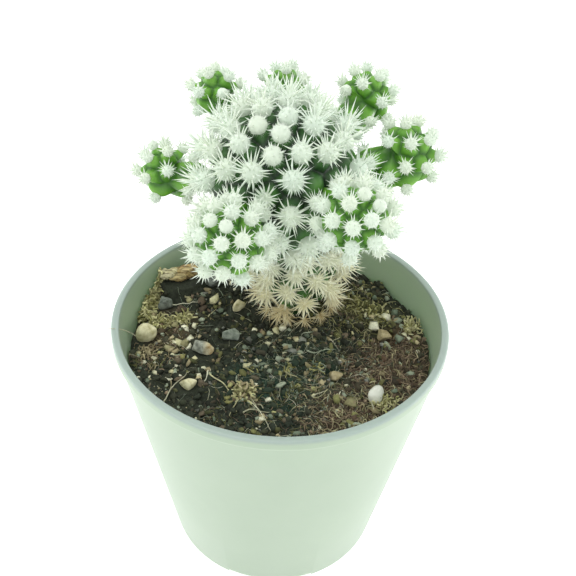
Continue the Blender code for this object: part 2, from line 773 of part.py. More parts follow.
def main():
    clear_scene()
    plastic = make_material("pot_plastic", (0.56, 0.66, 0.58), 0.45)
    earth = make_material("soil_mix", (0.06, 0.05, 0.035), 0.95)
    old_flesh = make_material("flesh_mother", (0.03, 0.13, 0.06), 0.5)
    young_flesh = make_material("flesh_offset", (0.10, 0.30, 0.03), 0.5)
    spines = make_material("spines_white", (0.85, 0.88, 0.80), 0.6)
    white_stone = make_material("stone_white", (0.75, 0.75, 0.70), 0.8)
    grey_stone = make_material("stone_grey", (0.22, 0.23, 0.20), 0.85)
    tan_stone = make_material("stone_tan", (0.50, 0.43, 0.28), 0.85)
    bark = make_material("bark_chip", (0.40, 0.32, 0.14), 0.9)

    seats = seat_list()
    pot = make_pot(plastic)
    soil = make_soil(seats, earth)
    for index, (name, (place, size, turn)) in enumerate(STONES.items()):
        material = grey_stone
        if "white" in name or "cream" in name:
            material = white_stone
        if "tan" in name:
            material = tan_stone
        make_stone(name, place, size, turn, seats[index][2], material, SEED + index)
    make_chip(seats[-1][2], bark)
    make_cactus(solid_tree(soil), solid_tree(pot), (old_flesh, young_flesh), spines)


main()
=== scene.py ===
# Dresses the potted thimble cactus: smooth tubercled flesh, fine spine stars, a moulded pot
# and loose potting mix, seen from the photo's angle.
import random
from math import acos, atan2, cos, hypot, pi, radians, sin, tau

import bmesh
import bpy
import numpy as np
from mathutils import Euler, Matrix, Vector, noise
from mathutils.bvhtree import BVHTree
from mathutils.geometry import interpolate_bezier
from mathutils.kdtree import KDTree


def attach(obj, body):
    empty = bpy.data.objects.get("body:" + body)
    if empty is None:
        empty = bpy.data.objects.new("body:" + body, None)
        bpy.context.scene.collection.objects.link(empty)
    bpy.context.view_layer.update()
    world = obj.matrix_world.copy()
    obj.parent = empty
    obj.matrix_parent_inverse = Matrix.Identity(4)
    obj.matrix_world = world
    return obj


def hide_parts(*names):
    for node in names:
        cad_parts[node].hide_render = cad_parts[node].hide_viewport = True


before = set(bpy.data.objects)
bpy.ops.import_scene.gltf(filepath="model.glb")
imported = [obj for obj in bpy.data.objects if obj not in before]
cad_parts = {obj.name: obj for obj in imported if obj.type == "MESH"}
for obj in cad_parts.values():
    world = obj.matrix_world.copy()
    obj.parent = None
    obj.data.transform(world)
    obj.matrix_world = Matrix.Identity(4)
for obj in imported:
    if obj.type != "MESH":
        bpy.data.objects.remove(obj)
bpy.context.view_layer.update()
mm = 0.001
goldenAngle = radians(137.508)


# General helpers

def addPiece(name, mesh, material, slotName, replaced=()):
    piece = bpy.data.objects.new(name, mesh)
    bpy.context.scene.collection.objects.link(piece)
    mesh.materials.clear()
    mesh.materials.append(material)
    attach(piece, "root")
    if replaced:
        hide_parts(*replaced)
    return piece


def meshFromBmesh(name, bm, smooth=True):
    mesh = bpy.data.meshes.new(name)
    bm.to_mesh(mesh)
    bm.free()
    if smooth:
        mesh.shade_smooth()
    return mesh


def spinProfile(points, segments):
    # Turns (radius, height) points round the Z axis into a closed skin
    bm = bmesh.new()
    verts = [bm.verts.new((r, 0, z)) for r, z in points]
    edges = [bm.edges.new(pair) for pair in zip(verts, verts[1:])]
    bmesh.ops.spin(bm, geom=verts + edges, cent=(0, 0, 0), axis=(0, 0, 1), angle=tau,
                   steps=segments, use_merge=True)
    bmesh.ops.remove_doubles(bm, verts=bm.verts, dist=0.0005 * mm)
    bmesh.ops.recalc_face_normals(bm, faces=bm.faces)
    return bm


def templateFromBmesh(bm):
    # Corner positions and faces of a small shape that is copied many times
    bm.verts.ensure_lookup_table()
    corners = np.array([vert.co for vert in bm.verts])
    faces = [[vert.index for vert in face.verts] for face in bm.faces]
    bm.free()
    return corners, faces


def copiesMesh(name, corners, faces, smooth=True, **values):
    # corners holds (copies, corners of one copy, 3); values holds one number or colour a copy
    copies, count = corners.shape[:2]
    starts = np.cumsum([0] + [len(face) for face in faces])
    loops = np.concatenate(faces)
    allLoops = (loops[None, :] + np.arange(copies)[:, None] * count).ravel()
    allStarts = (starts[None, :-1] + np.arange(copies)[:, None] * starts[-1]).ravel()
    mesh = bpy.data.meshes.new(name)
    mesh.vertices.add(copies * count)
    mesh.vertices.foreach_set("co", corners.ravel())
    mesh.loops.add(len(allLoops))
    mesh.loops.foreach_set("vertex_index", allLoops.astype(np.int32))
    mesh.polygons.add(len(allStarts))
    mesh.polygons.foreach_set("loop_start", allStarts.astype(np.int32))
    mesh.update(calc_edges=True)
    mesh.validate()
    for key, rows in values.items():
        addValue(mesh, key, np.repeat(np.asarray(rows, dtype=float), count, axis=0))
    if smooth:
        mesh.shade_smooth()
    return mesh


def addValue(mesh, key, rows):
    if rows.ndim == 1:
        layer = mesh.attributes.new(key, "FLOAT", "POINT")
        layer.data.foreach_set("value", rows.ravel())
    else:
        layer = mesh.attributes.new(key, "FLOAT_COLOR", "POINT")
        full = np.ones((len(rows), 4))
        full[:, :3] = rows
        layer.data.foreach_set("color", full.ravel())


def mixColours(first, second, share):
    return tuple(a + (b - a) * share for a, b in zip(first, second))


# Materials

def newMaterial(name):
    material = bpy.data.materials.new(name)
    material.use_nodes = True
    return material, material.node_tree, material.node_tree.nodes["Principled BSDF"]


def addNode(tree, kind, inputs=None, **settings):
    node = tree.nodes.new(kind)
    for key, value in settings.items():
        setattr(node, key, value)
    for key, value in (inputs or {}).items():
        if isinstance(value, bpy.types.NodeSocket):
            tree.links.new(value, node.inputs[key])
        else:
            node.inputs[key].default_value = value
    return node


def addSocket(group, name, kind, output=False):
    way = "OUTPUT" if output else "INPUT"
    return group.interface.new_socket(name=name, in_out=way, socket_type="NodeSocket" + kind)


def makeBlotches():
    # Two colours mixed by soft noise, for any surface that isn't one even colour
    group = bpy.data.node_groups.new("blotches", "ShaderNodeTree")
    for name, kind in (("Dark", "Color"), ("Light", "Color"), ("Scale", "Float"),
                       ("Low", "Float"), ("High", "Float")):
        addSocket(group, name, kind)
    addSocket(group, "Color", "Color", True)
    addSocket(group, "Mask", "Float", True)
    start = group.nodes.new("NodeGroupInput")
    end = group.nodes.new("NodeGroupOutput")
    place = addNode(group, "ShaderNodeTexCoord")
    cloud = addNode(group, "ShaderNodeTexNoise",
                    {"Vector": place.outputs["Object"], "Scale": start.outputs["Scale"],
                     "Detail": 5.0, "Roughness": 0.62})
    spread = addNode(group, "ShaderNodeMapRange",
                     {"Value": cloud.outputs["Fac"], "From Min": start.outputs["Low"],
                      "From Max": start.outputs["High"]})
    blend = addNode(group, "ShaderNodeMix", data_type="RGBA")
    group.links.new(spread.outputs["Result"], blend.inputs["Factor"])
    group.links.new(start.outputs["Dark"], blend.inputs["A"])
    group.links.new(start.outputs["Light"], blend.inputs["B"])
    socketByType(blend.inputs, "A", "RGBA", start.outputs["Dark"], group)
    socketByType(blend.inputs, "B", "RGBA", start.outputs["Light"], group)
    group.links.new(colourOutput(blend), end.inputs["Color"])
    group.links.new(spread.outputs["Result"], end.inputs["Mask"])
    return group


def socketByType(sockets, name, kind, source, tree):
    for socket in sockets:
        if socket.name == name and socket.type == kind:
            tree.links.new(source, socket)


def colourOutput(mixNode):
    return [socket for socket in mixNode.outputs if socket.type == "RGBA"][0]


def makeGrain():
    # Fine relief from noise, as a normal
    group = bpy.data.node_groups.new("grain", "ShaderNodeTree")
    for name in ("Scale", "Strength", "Height"):
        addSocket(group, name, "Float")
    addSocket(group, "Normal", "Vector", True)
    start = group.nodes.new("NodeGroupInput")
    end = group.nodes.new("NodeGroupOutput")
    place = addNode(group, "ShaderNodeTexCoord")
    cloud = addNode(group, "ShaderNodeTexNoise",
                    {"Vector": place.outputs["Object"], "Scale": start.outputs["Scale"],
                     "Detail": 4.0, "Roughness": 0.6})
    bump = addNode(group, "ShaderNodeBump",
                   {"Height": cloud.outputs["Fac"], "Strength": start.outputs["Strength"],
                    "Distance": start.outputs["Height"]})
    group.links.new(bump.outputs["Normal"], end.inputs["Normal"])
    return group


blotches = makeBlotches()
grain = makeGrain()


def useBlotches(tree, dark, light, scale, low=0.35, high=0.65):
    return addNode(tree, "ShaderNodeGroup", {}, node_tree=blotches), dict(
        Dark=(*dark, 1), Light=(*light, 1), Scale=scale, Low=low, High=high)


def blotchNode(tree, dark, light, scale, low=0.35, high=0.65):
    node, values = useBlotches(tree, dark, light, scale, low, high)
    for key, value in values.items():
        node.inputs[key].default_value = value
    return node


def grainNode(tree, scale, strength, height):
    node = addNode(tree, "ShaderNodeGroup", node_tree=grain)
    node.inputs["Scale"].default_value = scale
    node.inputs["Strength"].default_value = strength
    node.inputs["Height"].default_value = height
    return node


def mixNode(tree, factor, first, second, mode="MIX"):
    # Colours and sockets are both taken for first and second
    node = addNode(tree, "ShaderNodeMix", data_type="RGBA", blend_type=mode)
    for key, value in (("Factor", factor), ("A", first), ("B", second)):
        for socket in node.inputs:
            wanted = "VALUE" if key == "Factor" else "RGBA"
            if socket.name == key and socket.type == wanted:
                if isinstance(value, bpy.types.NodeSocket):
                    tree.links.new(value, socket)
                else:
                    socket.default_value = value if key == "Factor" else (*value, 1)
    return colourOutput(node)


def valueNode(tree, key):
    return addNode(tree, "ShaderNodeAttribute", attribute_name=key)


def makePotPlastic():
    look = dict(dark=(0.385, 0.475, 0.37), light=(0.425, 0.515, 0.405),
                rim=(0.34, 0.41, 0.38), roughness=0.34)
    material, tree, shader = newMaterial("potPlastic")
    tone = blotchNode(tree, look["dark"], look["light"], 60, 0.2, 0.8)
    place = addNode(tree, "ShaderNodeTexCoord")
    parts = addNode(tree, "ShaderNodeSeparateXYZ", {"Vector": place.outputs["Object"]})
    # Painted shade: the rim's top face takes the darker, bluer rim colour, though the whole pot is one
    # plastic
    rim = addNode(tree, "ShaderNodeMapRange",
                  {"Value": parts.outputs["Z"], "From Min": potForm["height"] - 0.7 * mm,
                   "From Max": potForm["height"] - 0.2 * mm})
    full = mixNode(tree, rim.outputs["Result"], tone.outputs["Color"], look["rim"])
    tree.links.new(full, shader.inputs["Base Color"])
    relief = grainNode(tree, 900, 0.12, 0.02 * mm)
    tree.links.new(relief.outputs["Normal"], shader.inputs["Normal"])
    shader.inputs["Roughness"].default_value = look["roughness"]
    shader.inputs["Subsurface Weight"].default_value = 0.35
    shader.inputs["Subsurface Radius"].default_value = (1, 1.1, 0.9)
    shader.inputs["Subsurface Scale"].default_value = 2 * mm
    return material


def makeFlesh(name, valley, flank, tip):
    # groove is 0 at a tubercle's tip and 1 in the furrow round it. The furrows are painted near black as
    # painted shade, and the tips a lighter green as painted light.
    material, tree, shader = newMaterial(name)
    groove = valueNode(tree, "groove").outputs["Fac"]
    tone = blotchNode(tree, flank, mixColours(flank, tip, 0.6), 500, 0.3, 0.7)
    upper = addNode(tree, "ShaderNodeMapRange",
                    {"Value": groove, "From Min": 0.2, "From Max": 0.6})
    lower = addNode(tree, "ShaderNodeMapRange",
                    {"Value": groove, "From Min": 0.65, "From Max": 1.0})
    flankColour = mixNode(tree, upper.outputs["Result"], tip, tone.outputs["Color"])
    full = mixNode(tree, lower.outputs["Result"], flankColour, valley)
    tree.links.new(full, shader.inputs["Base Color"])
    relief = grainNode(tree, 2500, 0.25, 0.04 * mm)
    tree.links.new(relief.outputs["Normal"], shader.inputs["Normal"])
    shader.inputs["Roughness"].default_value = 0.42
    shader.inputs["Subsurface Weight"].default_value = 0.25
    shader.inputs["Subsurface Radius"].default_value = (0.5, 1.0, 0.3)
    shader.inputs["Subsurface Scale"].default_value = 0.8 * mm
    return material


def makeSpineWhite(name, roughness, sheen):
    # tint goes from fresh white over cream to the brown of the oldest spines
    material, tree, shader = newMaterial(name)
    tint = valueNode(tree, "tint").outputs["Fac"]
    ramp = addNode(tree, "ShaderNodeValToRGB", {"Fac": tint})
    stops = ((0.0, (0.63, 0.72, 0.62)), (0.35, (0.74, 0.72, 0.50)), (0.7, (0.52, 0.44, 0.24)),
             (1.0, (0.20, 0.14, 0.06)))
    ramp.color_ramp.elements[0].position = stops[0][0]
    ramp.color_ramp.elements[0].color = (*stops[0][1], 1)
    ramp.color_ramp.elements[1].position = stops[-1][0]
    ramp.color_ramp.elements[1].color = (*stops[-1][1], 1)
    for position, colour in stops[1:-1]:
        ramp.color_ramp.elements.new(position).color = (*colour, 1)
    tone = blotchNode(tree, (0.9, 0.9, 0.9), (1, 1, 1), 700, 0.3, 0.7)
    full = mixNode(tree, 1.0, ramp.outputs["Color"], tone.outputs["Color"], "MULTIPLY")
    tree.links.new(full, shader.inputs["Base Color"])
    # Painted glow: the spines, wool and dead spines also give off their own colour as emission, which
    # lifts their shaded sides
    tree.links.new(full, shader.inputs["Emission Color"])
    shader.inputs["Emission Strength"].default_value = 0.2     # painted glow, standing in for light that shines through
    shader.inputs["Roughness"].default_value = roughness
    shader.inputs["Sheen Weight"].default_value = sheen
    shader.inputs["Subsurface Weight"].default_value = 0.3
    shader.inputs["Subsurface Radius"].default_value = (1, 1, 0.9)
    shader.inputs["Subsurface Scale"].default_value = 0.4 * mm
    return material


def makeTinted(name, roughness, grainScale, grainHeight, spread=0.45, scale=900):
    # Colour comes from the piece's own "colour" values, broken up by noise
    material, tree, shader = newMaterial(name)
    own = valueNode(tree, "colour").outputs["Color"]
    low = 1 - spread
    tone = blotchNode(tree, (low, low, low), (1 + spread, 1 + spread, 1 + spread), scale, 0.3, 0.7)
    full = mixNode(tree, 1.0, own, tone.outputs["Color"], "MULTIPLY")
    tree.links.new(full, shader.inputs["Base Color"])
    relief = grainNode(tree, grainScale, 0.8, grainHeight)
    tree.links.new(relief.outputs["Normal"], shader.inputs["Normal"])
    shader.inputs["Roughness"].default_value = roughness
    return material


def makeBark():
    material, tree, shader = newMaterial("barkChip")
    place = addNode(tree, "ShaderNodeTexCoord")
    # Fibres run along the chip, which lies 32 degrees off the X axis
    turned = addNode(tree, "ShaderNodeMapping", {"Vector": place.outputs["Object"]})
    turned.inputs["Rotation"].default_value = (0, 0, -radians(chipForm["turn"]))
    turned.inputs["Scale"].default_value = (0.12, 1, 1)
    lines = addNode(tree, "ShaderNodeTexNoise",
                    {"Vector": turned.outputs["Vector"], "Scale": 3500, "Detail": 5.0})
    spread = addNode(tree, "ShaderNodeMapRange",
                     {"Value": lines.outputs["Fac"], "From Min": 0.35, "From Max": 0.65})
    tone = mixNode(tree, spread.outputs["Result"], (0.3, 0.28, 0.25), (1.25, 1.25, 1.25))
    own = valueNode(tree, "colour").outputs["Color"]
    full = mixNode(tree, 1.0, own, tone, "MULTIPLY")
    tree.links.new(full, shader.inputs["Base Color"])
    bump = addNode(tree, "ShaderNodeBump", {"Height": lines.outputs["Fac"], "Strength": 0.8,
                                            "Distance": 0.25 * mm})
    tree.links.new(bump.outputs["Normal"], shader.inputs["Normal"])
    shader.inputs["Roughness"].default_value = 0.85
    return material


# Camera, lights and floor

def makeCamera():
    view = dict(place=(0.00096, -0.1008, 0.1318), pitch=38.2, roll=2.55, lens=50)
    data = bpy.data.cameras.new("photoCamera")
    data.lens = view["lens"]
    data.sensor_width = 36
    data.clip_start = 1 * mm
    camera = bpy.data.objects.new("photoCamera", data)
    bpy.context.scene.collection.objects.link(camera)
    camera.matrix_world = (Matrix.Translation(view["place"])
                           @ Matrix.Rotation(radians(90 - view["pitch"]), 4, "X")
                           @ Matrix.Rotation(radians(view["roll"]), 4, "Z"))
    bpy.context.scene.camera = camera


def makeLight(name, place, target, size, power, colour):
    data = bpy.data.lights.new(name, "AREA")
    data.shape = "DISK"
    data.size = size
    data.energy = power
    data.color = colour
    light = bpy.data.objects.new(name, data)
    bpy.context.scene.collection.objects.link(light)
    light.location = place
    light.rotation_euler = (Vector(target) - Vector(place)).to_track_quat("-Z", "Y").to_euler()


def makeStudio():
    studio = dict(sky=(0.985, 1.0, 0.985), skyPower=1.0, floor=(0.5, 0.51, 0.5), glow=0.78)
    scene = bpy.context.scene
    scene.view_settings.view_transform = "Standard"
    scene.world = bpy.data.worlds.new("studio")
    scene.world.use_nodes = True
    back = scene.world.node_tree.nodes["Background"]
    back.inputs["Color"].default_value = (*studio["sky"], 1)
    back.inputs["Strength"].default_value = studio["skyPower"]
    makeLight("topSoftbox", (-0.08, -0.02, 0.42), (0, 0.0, 0.05), 0.30, 0.45, (1, 1, 0.98))
    makeLight("leftPanel", (-0.40, 0.10, 0.05), (0, 0, 0.03), 0.35, 0.8, (0.98, 1, 0.98))
    makeLight("rightPanel", (0.40, 0.06, 0.05), (0, 0, 0.03), 0.35, 1.0, (0.98, 1, 0.98))

    bm = bmesh.new()
    bmesh.ops.create_grid(bm, x_segments=2, y_segments=2, size=1.5)
    floor = bpy.data.objects.new("floor", meshFromBmesh("floor", bm, False))
    material, tree, shader = newMaterial("floorPaper")
    shader.inputs["Base Color"].default_value = (*studio["floor"], 1)
    shader.inputs["Roughness"].default_value = 0.9
    shader.inputs["Emission Color"].default_value = (0.98, 1, 0.985, 1)
    shader.inputs["Emission Strength"].default_value = studio["glow"]
    floor.data.materials.append(material)
    scene.collection.objects.link(floor)


makeCamera()
makeStudio()
print("camera and studio are set")


# Pot

potForm = dict(height=47 * mm, rimRadius=27.5 * mm, wallTop=27.1 * mm, foot=19.4 * mm,
               wall=0.9 * mm, rimBand=1.7 * mm, rimWidth=1.2 * mm, floorUnder=1.1 * mm, floorTop=2.1 * mm,
               footRing=1.4 * mm, notchWidth=15 * mm, notchHeight=0.8 * mm, sides=192,
               holes=5, holeRadius=2.4 * mm, holeCircle=11 * mm)


def wallRadius(z):
    form = potForm
    return form["foot"] + (form["wallTop"] - form["foot"]) * z / (form["height"] - form["rimBand"])


def innerRadius(z):
    return wallRadius(z) - potForm["wall"]


def roundCorner(before, corner, after, size, steps=4):
    # Points of a rounded corner of a profile
    corner = Vector((*corner, 0))
    first = corner + (Vector((*before, 0)) - corner).normalized() * size
    last = corner + (Vector((*after, 0)) - corner).normalized() * size
    curve = interpolate_bezier(first, first.lerp(corner, 0.6), last.lerp(corner, 0.6), last, steps)
    return [(point.x, point.y) for point in curve]


def roundedProfile(rows):
    # rows holds (radius, height, corner size); a size of 0 keeps the corner sharp
    points = []
    for index, (r, z, size) in enumerate(rows):
        if size == 0:
            points.append((r, z))
        else:
            points += roundCorner(rows[index - 1][:2], (r, z), rows[index + 1][:2], size)
    return points


def potProfile():
    form = potForm
    band = form["height"] - form["rimBand"]
    rimIn = form["rimRadius"] - form["rimWidth"]
    footIn = form["foot"] - form["footRing"]
    rows = [
        (0, form["floorUnder"], 0),
        (footIn, form["floorUnder"], 0.25 * mm),
        (footIn, 0, 0.2 * mm),
        (form["foot"], 0, 0.35 * mm),
        (wallRadius(16 * mm), 16 * mm, 0),
        (wallRadius(30 * mm), 30 * mm, 0),
        (wallRadius(band - 0.4 * mm), band - 0.4 * mm, 0.3 * mm),
        (form["rimRadius"], band, 0.25 * mm),
        (form["rimRadius"], form["height"], 0.3 * mm),
        (rimIn, form["height"], 0.25 * mm),
        (innerRadius(band - 0.5 * mm), band - 0.5 * mm, 0),
        (innerRadius(30 * mm), 30 * mm, 0),
        (innerRadius(form["floorTop"]), form["floorTop"], 0.4 * mm),
        (0, form["floorTop"], 0),
    ]
    return roundedProfile(rows)


def cutAway(bm, cutters):
    # Booleans the cutters out of the bmesh's shape and returns the result as a mesh
    body = bpy.data.objects.new("body", meshFromBmesh("body", bm, False))
    scene = bpy.context.scene
    scene.collection.objects.link(body)
    made = [body]
    for cutter in cutters:
        tool = bpy.data.objects.new("cutter", meshFromBmesh("cutter", cutter, False))
        scene.collection.objects.link(tool)
        step = body.modifiers.new("cut", "BOOLEAN")
        step.object = tool
        step.operation = "DIFFERENCE"
        made.append(tool)
    graph = bpy.context.evaluated_depsgraph_get()
    mesh = bpy.data.meshes.new_from_object(body.evaluated_get(graph))
    for item in made:
        bpy.data.objects.remove(item, do_unlink=True)
    return mesh


def makePot(material):
    form = potForm
    bm = spinProfile(potProfile(), form["sides"])
    cutters = []
    for index in range(2):
        notch = bmesh.new()
        size = Matrix.Diagonal((form["notchWidth"], 3 * form["foot"], 2 * form["notchHeight"], 1))
        bmesh.ops.create_cube(notch, size=1, matrix=Matrix.Rotation(index * pi / 2, 4, "Z") @ size)
        cutters.append(notch)
    for index in range(form["holes"]):
        angle = (index + 0.25) * tau / form["holes"]
        place = Matrix.Translation(Vector((cos(angle), sin(angle), 0)) * form["holeCircle"])
        hole = bmesh.new()
        bmesh.ops.create_cone(hole, cap_ends=True, segments=48, radius1=form["holeRadius"],
                              radius2=form["holeRadius"], depth=4 * form["floorTop"], matrix=place)
        cutters.append(hole)
    mesh = cutAway(bm, cutters)
    mesh.shade_smooth()
    mesh.set_sharp_from_angle(angle=radians(40))
    mesh.name = "potShell"
    addPiece("potShell", mesh, material, "pot", ["pot"])


makePot(makePotPlastic())
print("pot is made")


# Heads of the cactus

motherForm = dict(foot=Vector((2.6, 10.5, 33)) * mm, bend=42.0 * mm, footRadius=4.4 * mm,
                  flare=(4.2 * mm, 6 * mm), centre=Vector((-0.9, 6.5, 68.8)) * mm,
                  radius=12.0 * mm, axis=Vector((-0.12, -0.50, 0.85)).normalized(), straight=3.0 * mm,
                  turnUnder=radians(104), ease=7 * mm, seat=10.7 * mm, rowStep=0.33 * mm,
                  segments=210, depth=0.33)

# Middle and radius at the tubercle tips, neck radius, distance between areoles
offsetForms = {
    "offset_front_left": ((-7.2, -10.5, 68.7), 5.2, 2.4, 3.1),
    "offset_front_right": ((9.9, -8.5, 71.6), 4.9, 2.4, 3.1),
    "offset_right": ((18.4, 10.5, 71.6), 5.0, 2.2, 3.8),
    "offset_back_right": ((12.2, 20.0, 76.6), 4.3, 2.0, 3.7),
    "offset_back": ((-1.1, 21.8, 76.3), 3.8, 1.8, 3.6),
    "offset_back_left": ((-12.1, 20.3, 75.8), 3.9, 1.8, 3.6),
    "offset_left": ((-19.7, 12.5, 65.7), 4.2, 1.8, 3.7),
}
offsetGrowth = dict(rise=0.55, root=2.6 * mm, turnUnder=radians(115), ease=1.2 * mm,
                    rowStep=0.2 * mm, segments=120, depth=0.32)

# Areoles: spacing holds (share of the way down, distance in mm or over the offset's own), and
# the other sizes are over the widest distance. Young ones are woolly balls with fewer, shorter spines.
motherAreoles = dict(spacing=((0, 3.6), (0.3, 5.2), (0.6, 5.2), (1, 4.5)), cushion=0.345,
                     reach=0.66, last=1.2 * mm, young=0.06)
fullAreoles = dict(spacing=((0, 0.75), (0.3, 1), (1, 1)), cushion=0.40, reach=0.64,
                   last=0.8 * mm, young=0.08)
sparseAreoles = dict(fullAreoles, cushion=0.28, reach=0.46, young=0.05)
sparseFrom = 3.3                   # distance between areoles, mm, from which they are sparse
gap = 0.3 * mm                     # between the solids of two heads
neckClear = 0.55 * mm              # between the mother's areoles and the offsets' necks
crowded = 0.7                      # least distance between areoles, over their spacing


def pathLengths(points):
    steps = np.linalg.norm(np.diff(points, axis=0), axis=1)
    return np.concatenate(([0.0], np.cumsum(steps)))


class Head:
    # A turned form on a bent middle line. Its outline holds points (radius, height along the
    # line) at the tubercle tips, from the apex down to the foot.
    def __init__(self, name, line, radius, footRadius, collar, turnUnder, ease, flare):
        self.name = name
        self.line = np.array(line)
        self.lineAt = pathLengths(self.line)
        self.length = self.lineAt[-1]
        self.radius = radius
        self.footRadius = footRadius
        self.outline = np.array(self.makeOutline(collar, turnUnder, ease, flare))
        self.sAt = pathLengths(self.outline)
        self.sites = []

    def makeOutline(self, collar, turnUnder, ease, flare):
        middle = self.length - self.radius
        points = []
        for index in range(41):
            angle = turnUnder * index / 40
            points.append((self.radius * sin(angle), middle + self.radius * cos(angle)))
        last = Vector((*points[-1], 0))
        inwards = Vector((cos(turnUnder), -sin(turnUnder), 0)) * ease
        top = Vector((self.footRadius, collar, 0))
        neck = interpolate_bezier(last, last + inwards, top + Vector((*flare, 0)), top, 40)
        points += [(point.x, point.y) for point in neck[1:]]
        if collar > 0:
            points += [(self.footRadius, collar * (1 - index / 20)) for index in range(1, 21)]
        return points

    def sOfHeight(self, height):
        return float(np.interp(-height, -self.outline[:, 1], self.sAt))

    def centre(self, height):
        return Vector([np.interp(height, self.lineAt, self.line[:, axis]) for axis in range(3)])

    def turn(self, height):
        reach = 0.02 * self.length
        low = min(max(height - reach, 0.0), self.length - 2 * reach)
        along = self.centre(low + 2 * reach) - self.centre(low)
        return Vector((0, 0, 1)).rotation_difference(along)

    def point(self, s, angle):
        radius = float(np.interp(s, self.sAt, self.outline[:, 0]))
        height = float(np.interp(s, self.sAt, self.outline[:, 1]))
        around = Vector((radius * cos(angle), radius * sin(angle), 0))
        return self.centre(height) + self.turn(height) @ around

    def site(self, s, angle):
        # A place on the head with its tangents and normal, and where it is before bending
        step = 0.1 * mm
        radius = max(float(np.interp(s, self.sAt, self.outline[:, 0])), step)
        height = float(np.interp(s, self.sAt, self.outline[:, 1]))
        down = (self.point(s + step, angle) - self.point(s, angle)).normalized()
        side = self.point(s, angle + step / radius) - self.point(s, angle - step / radius)
        side = (side - down * side.dot(down)).normalized()
        return {"co": self.point(s, angle), "down": down, "side": side,
                "normal": down.cross(side), "s": s,
                "straight": Vector((radius * cos(angle), radius * sin(angle), height))}

    def addSites(self, form, lastHeight, unit, keep):
        # Golden-angle lattice, with one areole for each hexagonal cell of the local spacing
        last = self.sOfHeight(lastHeight)
        widest = unit * max(size for share, size in form["spacing"])
        s = np.linspace(0, last, 400)
        radius = np.interp(s, self.sAt, self.outline[:, 0])
        gaps = np.interp(s, [share * last for share, size in form["spacing"]],
                         [unit * size for share, size in form["spacing"]])
        density = tau * radius / (0.866 * gaps ** 2)
        countAt = np.concatenate(([0], np.cumsum((density[1:] + density[:-1]) / 2 * s[1])))
        for index in range(int(countAt[-1])):
            place = float(np.interp(index + 0.5, countAt, s))
            site = self.site(place, index * goldenAngle)
            site["gap"] = float(np.interp(place, s, gaps))
            near = min([(site["co"] - other["co"]).length for other in self.sites[-30:]],
                       default=site["gap"])
            if near < crowded * site["gap"]:
                continue
            site["cushion"] = form["cushion"] * widest
            site["reach"] = form["reach"] * widest
            site["young"] = max(0, min(1, 2 - place / last / form["young"]))
            site["star"] = keep(site)
            self.sites.append(site)

    def distance(self, co):
        gaps = [(co - self.centre(height)).length - radius
                for radius, height in self.outline[::4]]
        return min(gaps)


def motherHead():
    form = motherForm
    bend = Vector((form["foot"].x, form["foot"].y, form["bend"]))
    knee = form["centre"] - form["axis"] * form["straight"]
    lean = interpolate_bezier(bend, bend + Vector((0, 0, 9 * mm)),
                              knee - form["axis"] * 9 * mm, knee, 24)
    line = [form["foot"]] + lean
    line += [form["centre"], form["centre"] + form["axis"] * form["radius"]]
    return Head("mother_stem", line, form["radius"], form["footRadius"],
                form["bend"] - form["foot"].z, form["turnUnder"], form["ease"], form["flare"])


def offsetHead(name):
    middle, radius, neck, spacing = offsetForms[name]
    middle = Vector(middle) * mm
    out = (middle - motherForm["centre"]).normalized()
    foot = motherForm["centre"] + out * (motherForm["seat"] + gap)
    axis = out.lerp(Vector((0, 0, 1)), offsetGrowth["rise"]).normalized()
    ease = (middle - foot).length / 3
    bent = interpolate_bezier(foot, foot + out * ease, middle - axis * ease, middle, 16)
    line = [foot - out * offsetGrowth["root"]] + bent + [middle + axis * radius * mm]
    head = Head(name, line, radius * mm, neck * mm, offsetGrowth["root"],
                offsetGrowth["turnUnder"], offsetGrowth["ease"], (0, offsetGrowth["ease"]))
    head.out = out
    return head


def placeSites(mother, offsets):
    def roomBeside(co, head):
        away = co - motherForm["centre"]
        room = head.distance(co) - gap
        if away.dot(head.out) > 0:
            room = min(room, away.cross(head.out).length - head.footRadius - neckClear)
        return room

    def besideOffsets(site):
        # A star squeezed by an offset sits lower and is smaller, or is missing
        for drop in (0, 1.2 * mm, 2.2 * mm):
            co = site["co"] - site["normal"] * drop
            room = min(roomBeside(co, head) for head in offsets)
            size = min(1, room / site["cushion"])
            if size > 0.45:
                site["co"] = co
                site["cushion"] *= size
                site["reach"] *= (1 + size) / 2
                return True
        return False

    def besideMother(site):
        away = (site["co"] - motherForm["centre"]).length
        return away > motherForm["radius"] + 0.5 * mm

    bend = motherForm["bend"] - motherForm["foot"].z
    mother.addSites(motherAreoles, bend + motherAreoles["last"], mm, besideOffsets)
    for head in offsets:
        spacing = offsetForms[head.name][3]
        form = sparseAreoles if spacing > sparseFrom else fullAreoles
        head.addSites(form, offsetGrowth["root"] + form["last"], spacing * mm, besideMother)


def headSkin(head, rowStep, segments, depth):
    # Fine skin with a tubercle at each site, made straight and then bent to the middle line
    rows = int(head.sAt[-1] / rowStep)
    s = np.linspace(0, head.sAt[-1], rows + 1)
    radii = np.interp(s, head.sAt, head.outline[:, 0])
    heights = np.interp(s, head.sAt, head.outline[:, 1])
    points = list(zip(radii.tolist(), heights.tolist())) + [(0, 0)]
    bm = spinProfile(points, segments)
    bm.normal_update()
    groove = bm.verts.layers.float.new("groove")
    tree = KDTree(len(head.sites))
    for index, site in enumerate(head.sites):
        tree.insert(site["straight"], index)
    tree.balance()
    for vert in bm.verts:
        (_, first, near), (_, _, far) = tree.find_n(vert.co, 2)
        share = 2 * near / (near + far)
        size = head.sites[first]["gap"]
        fade = max(0, min(1, 1.9 - near / size))
        vert[groove] = share
        ripple = 0.02 * size * noise.noise(vert.co / (0.35 * size))
        vert.co -= vert.normal * (depth * size * share ** 1.7 * fade + ripple)
    bendSkin(head, bm)
    return bm


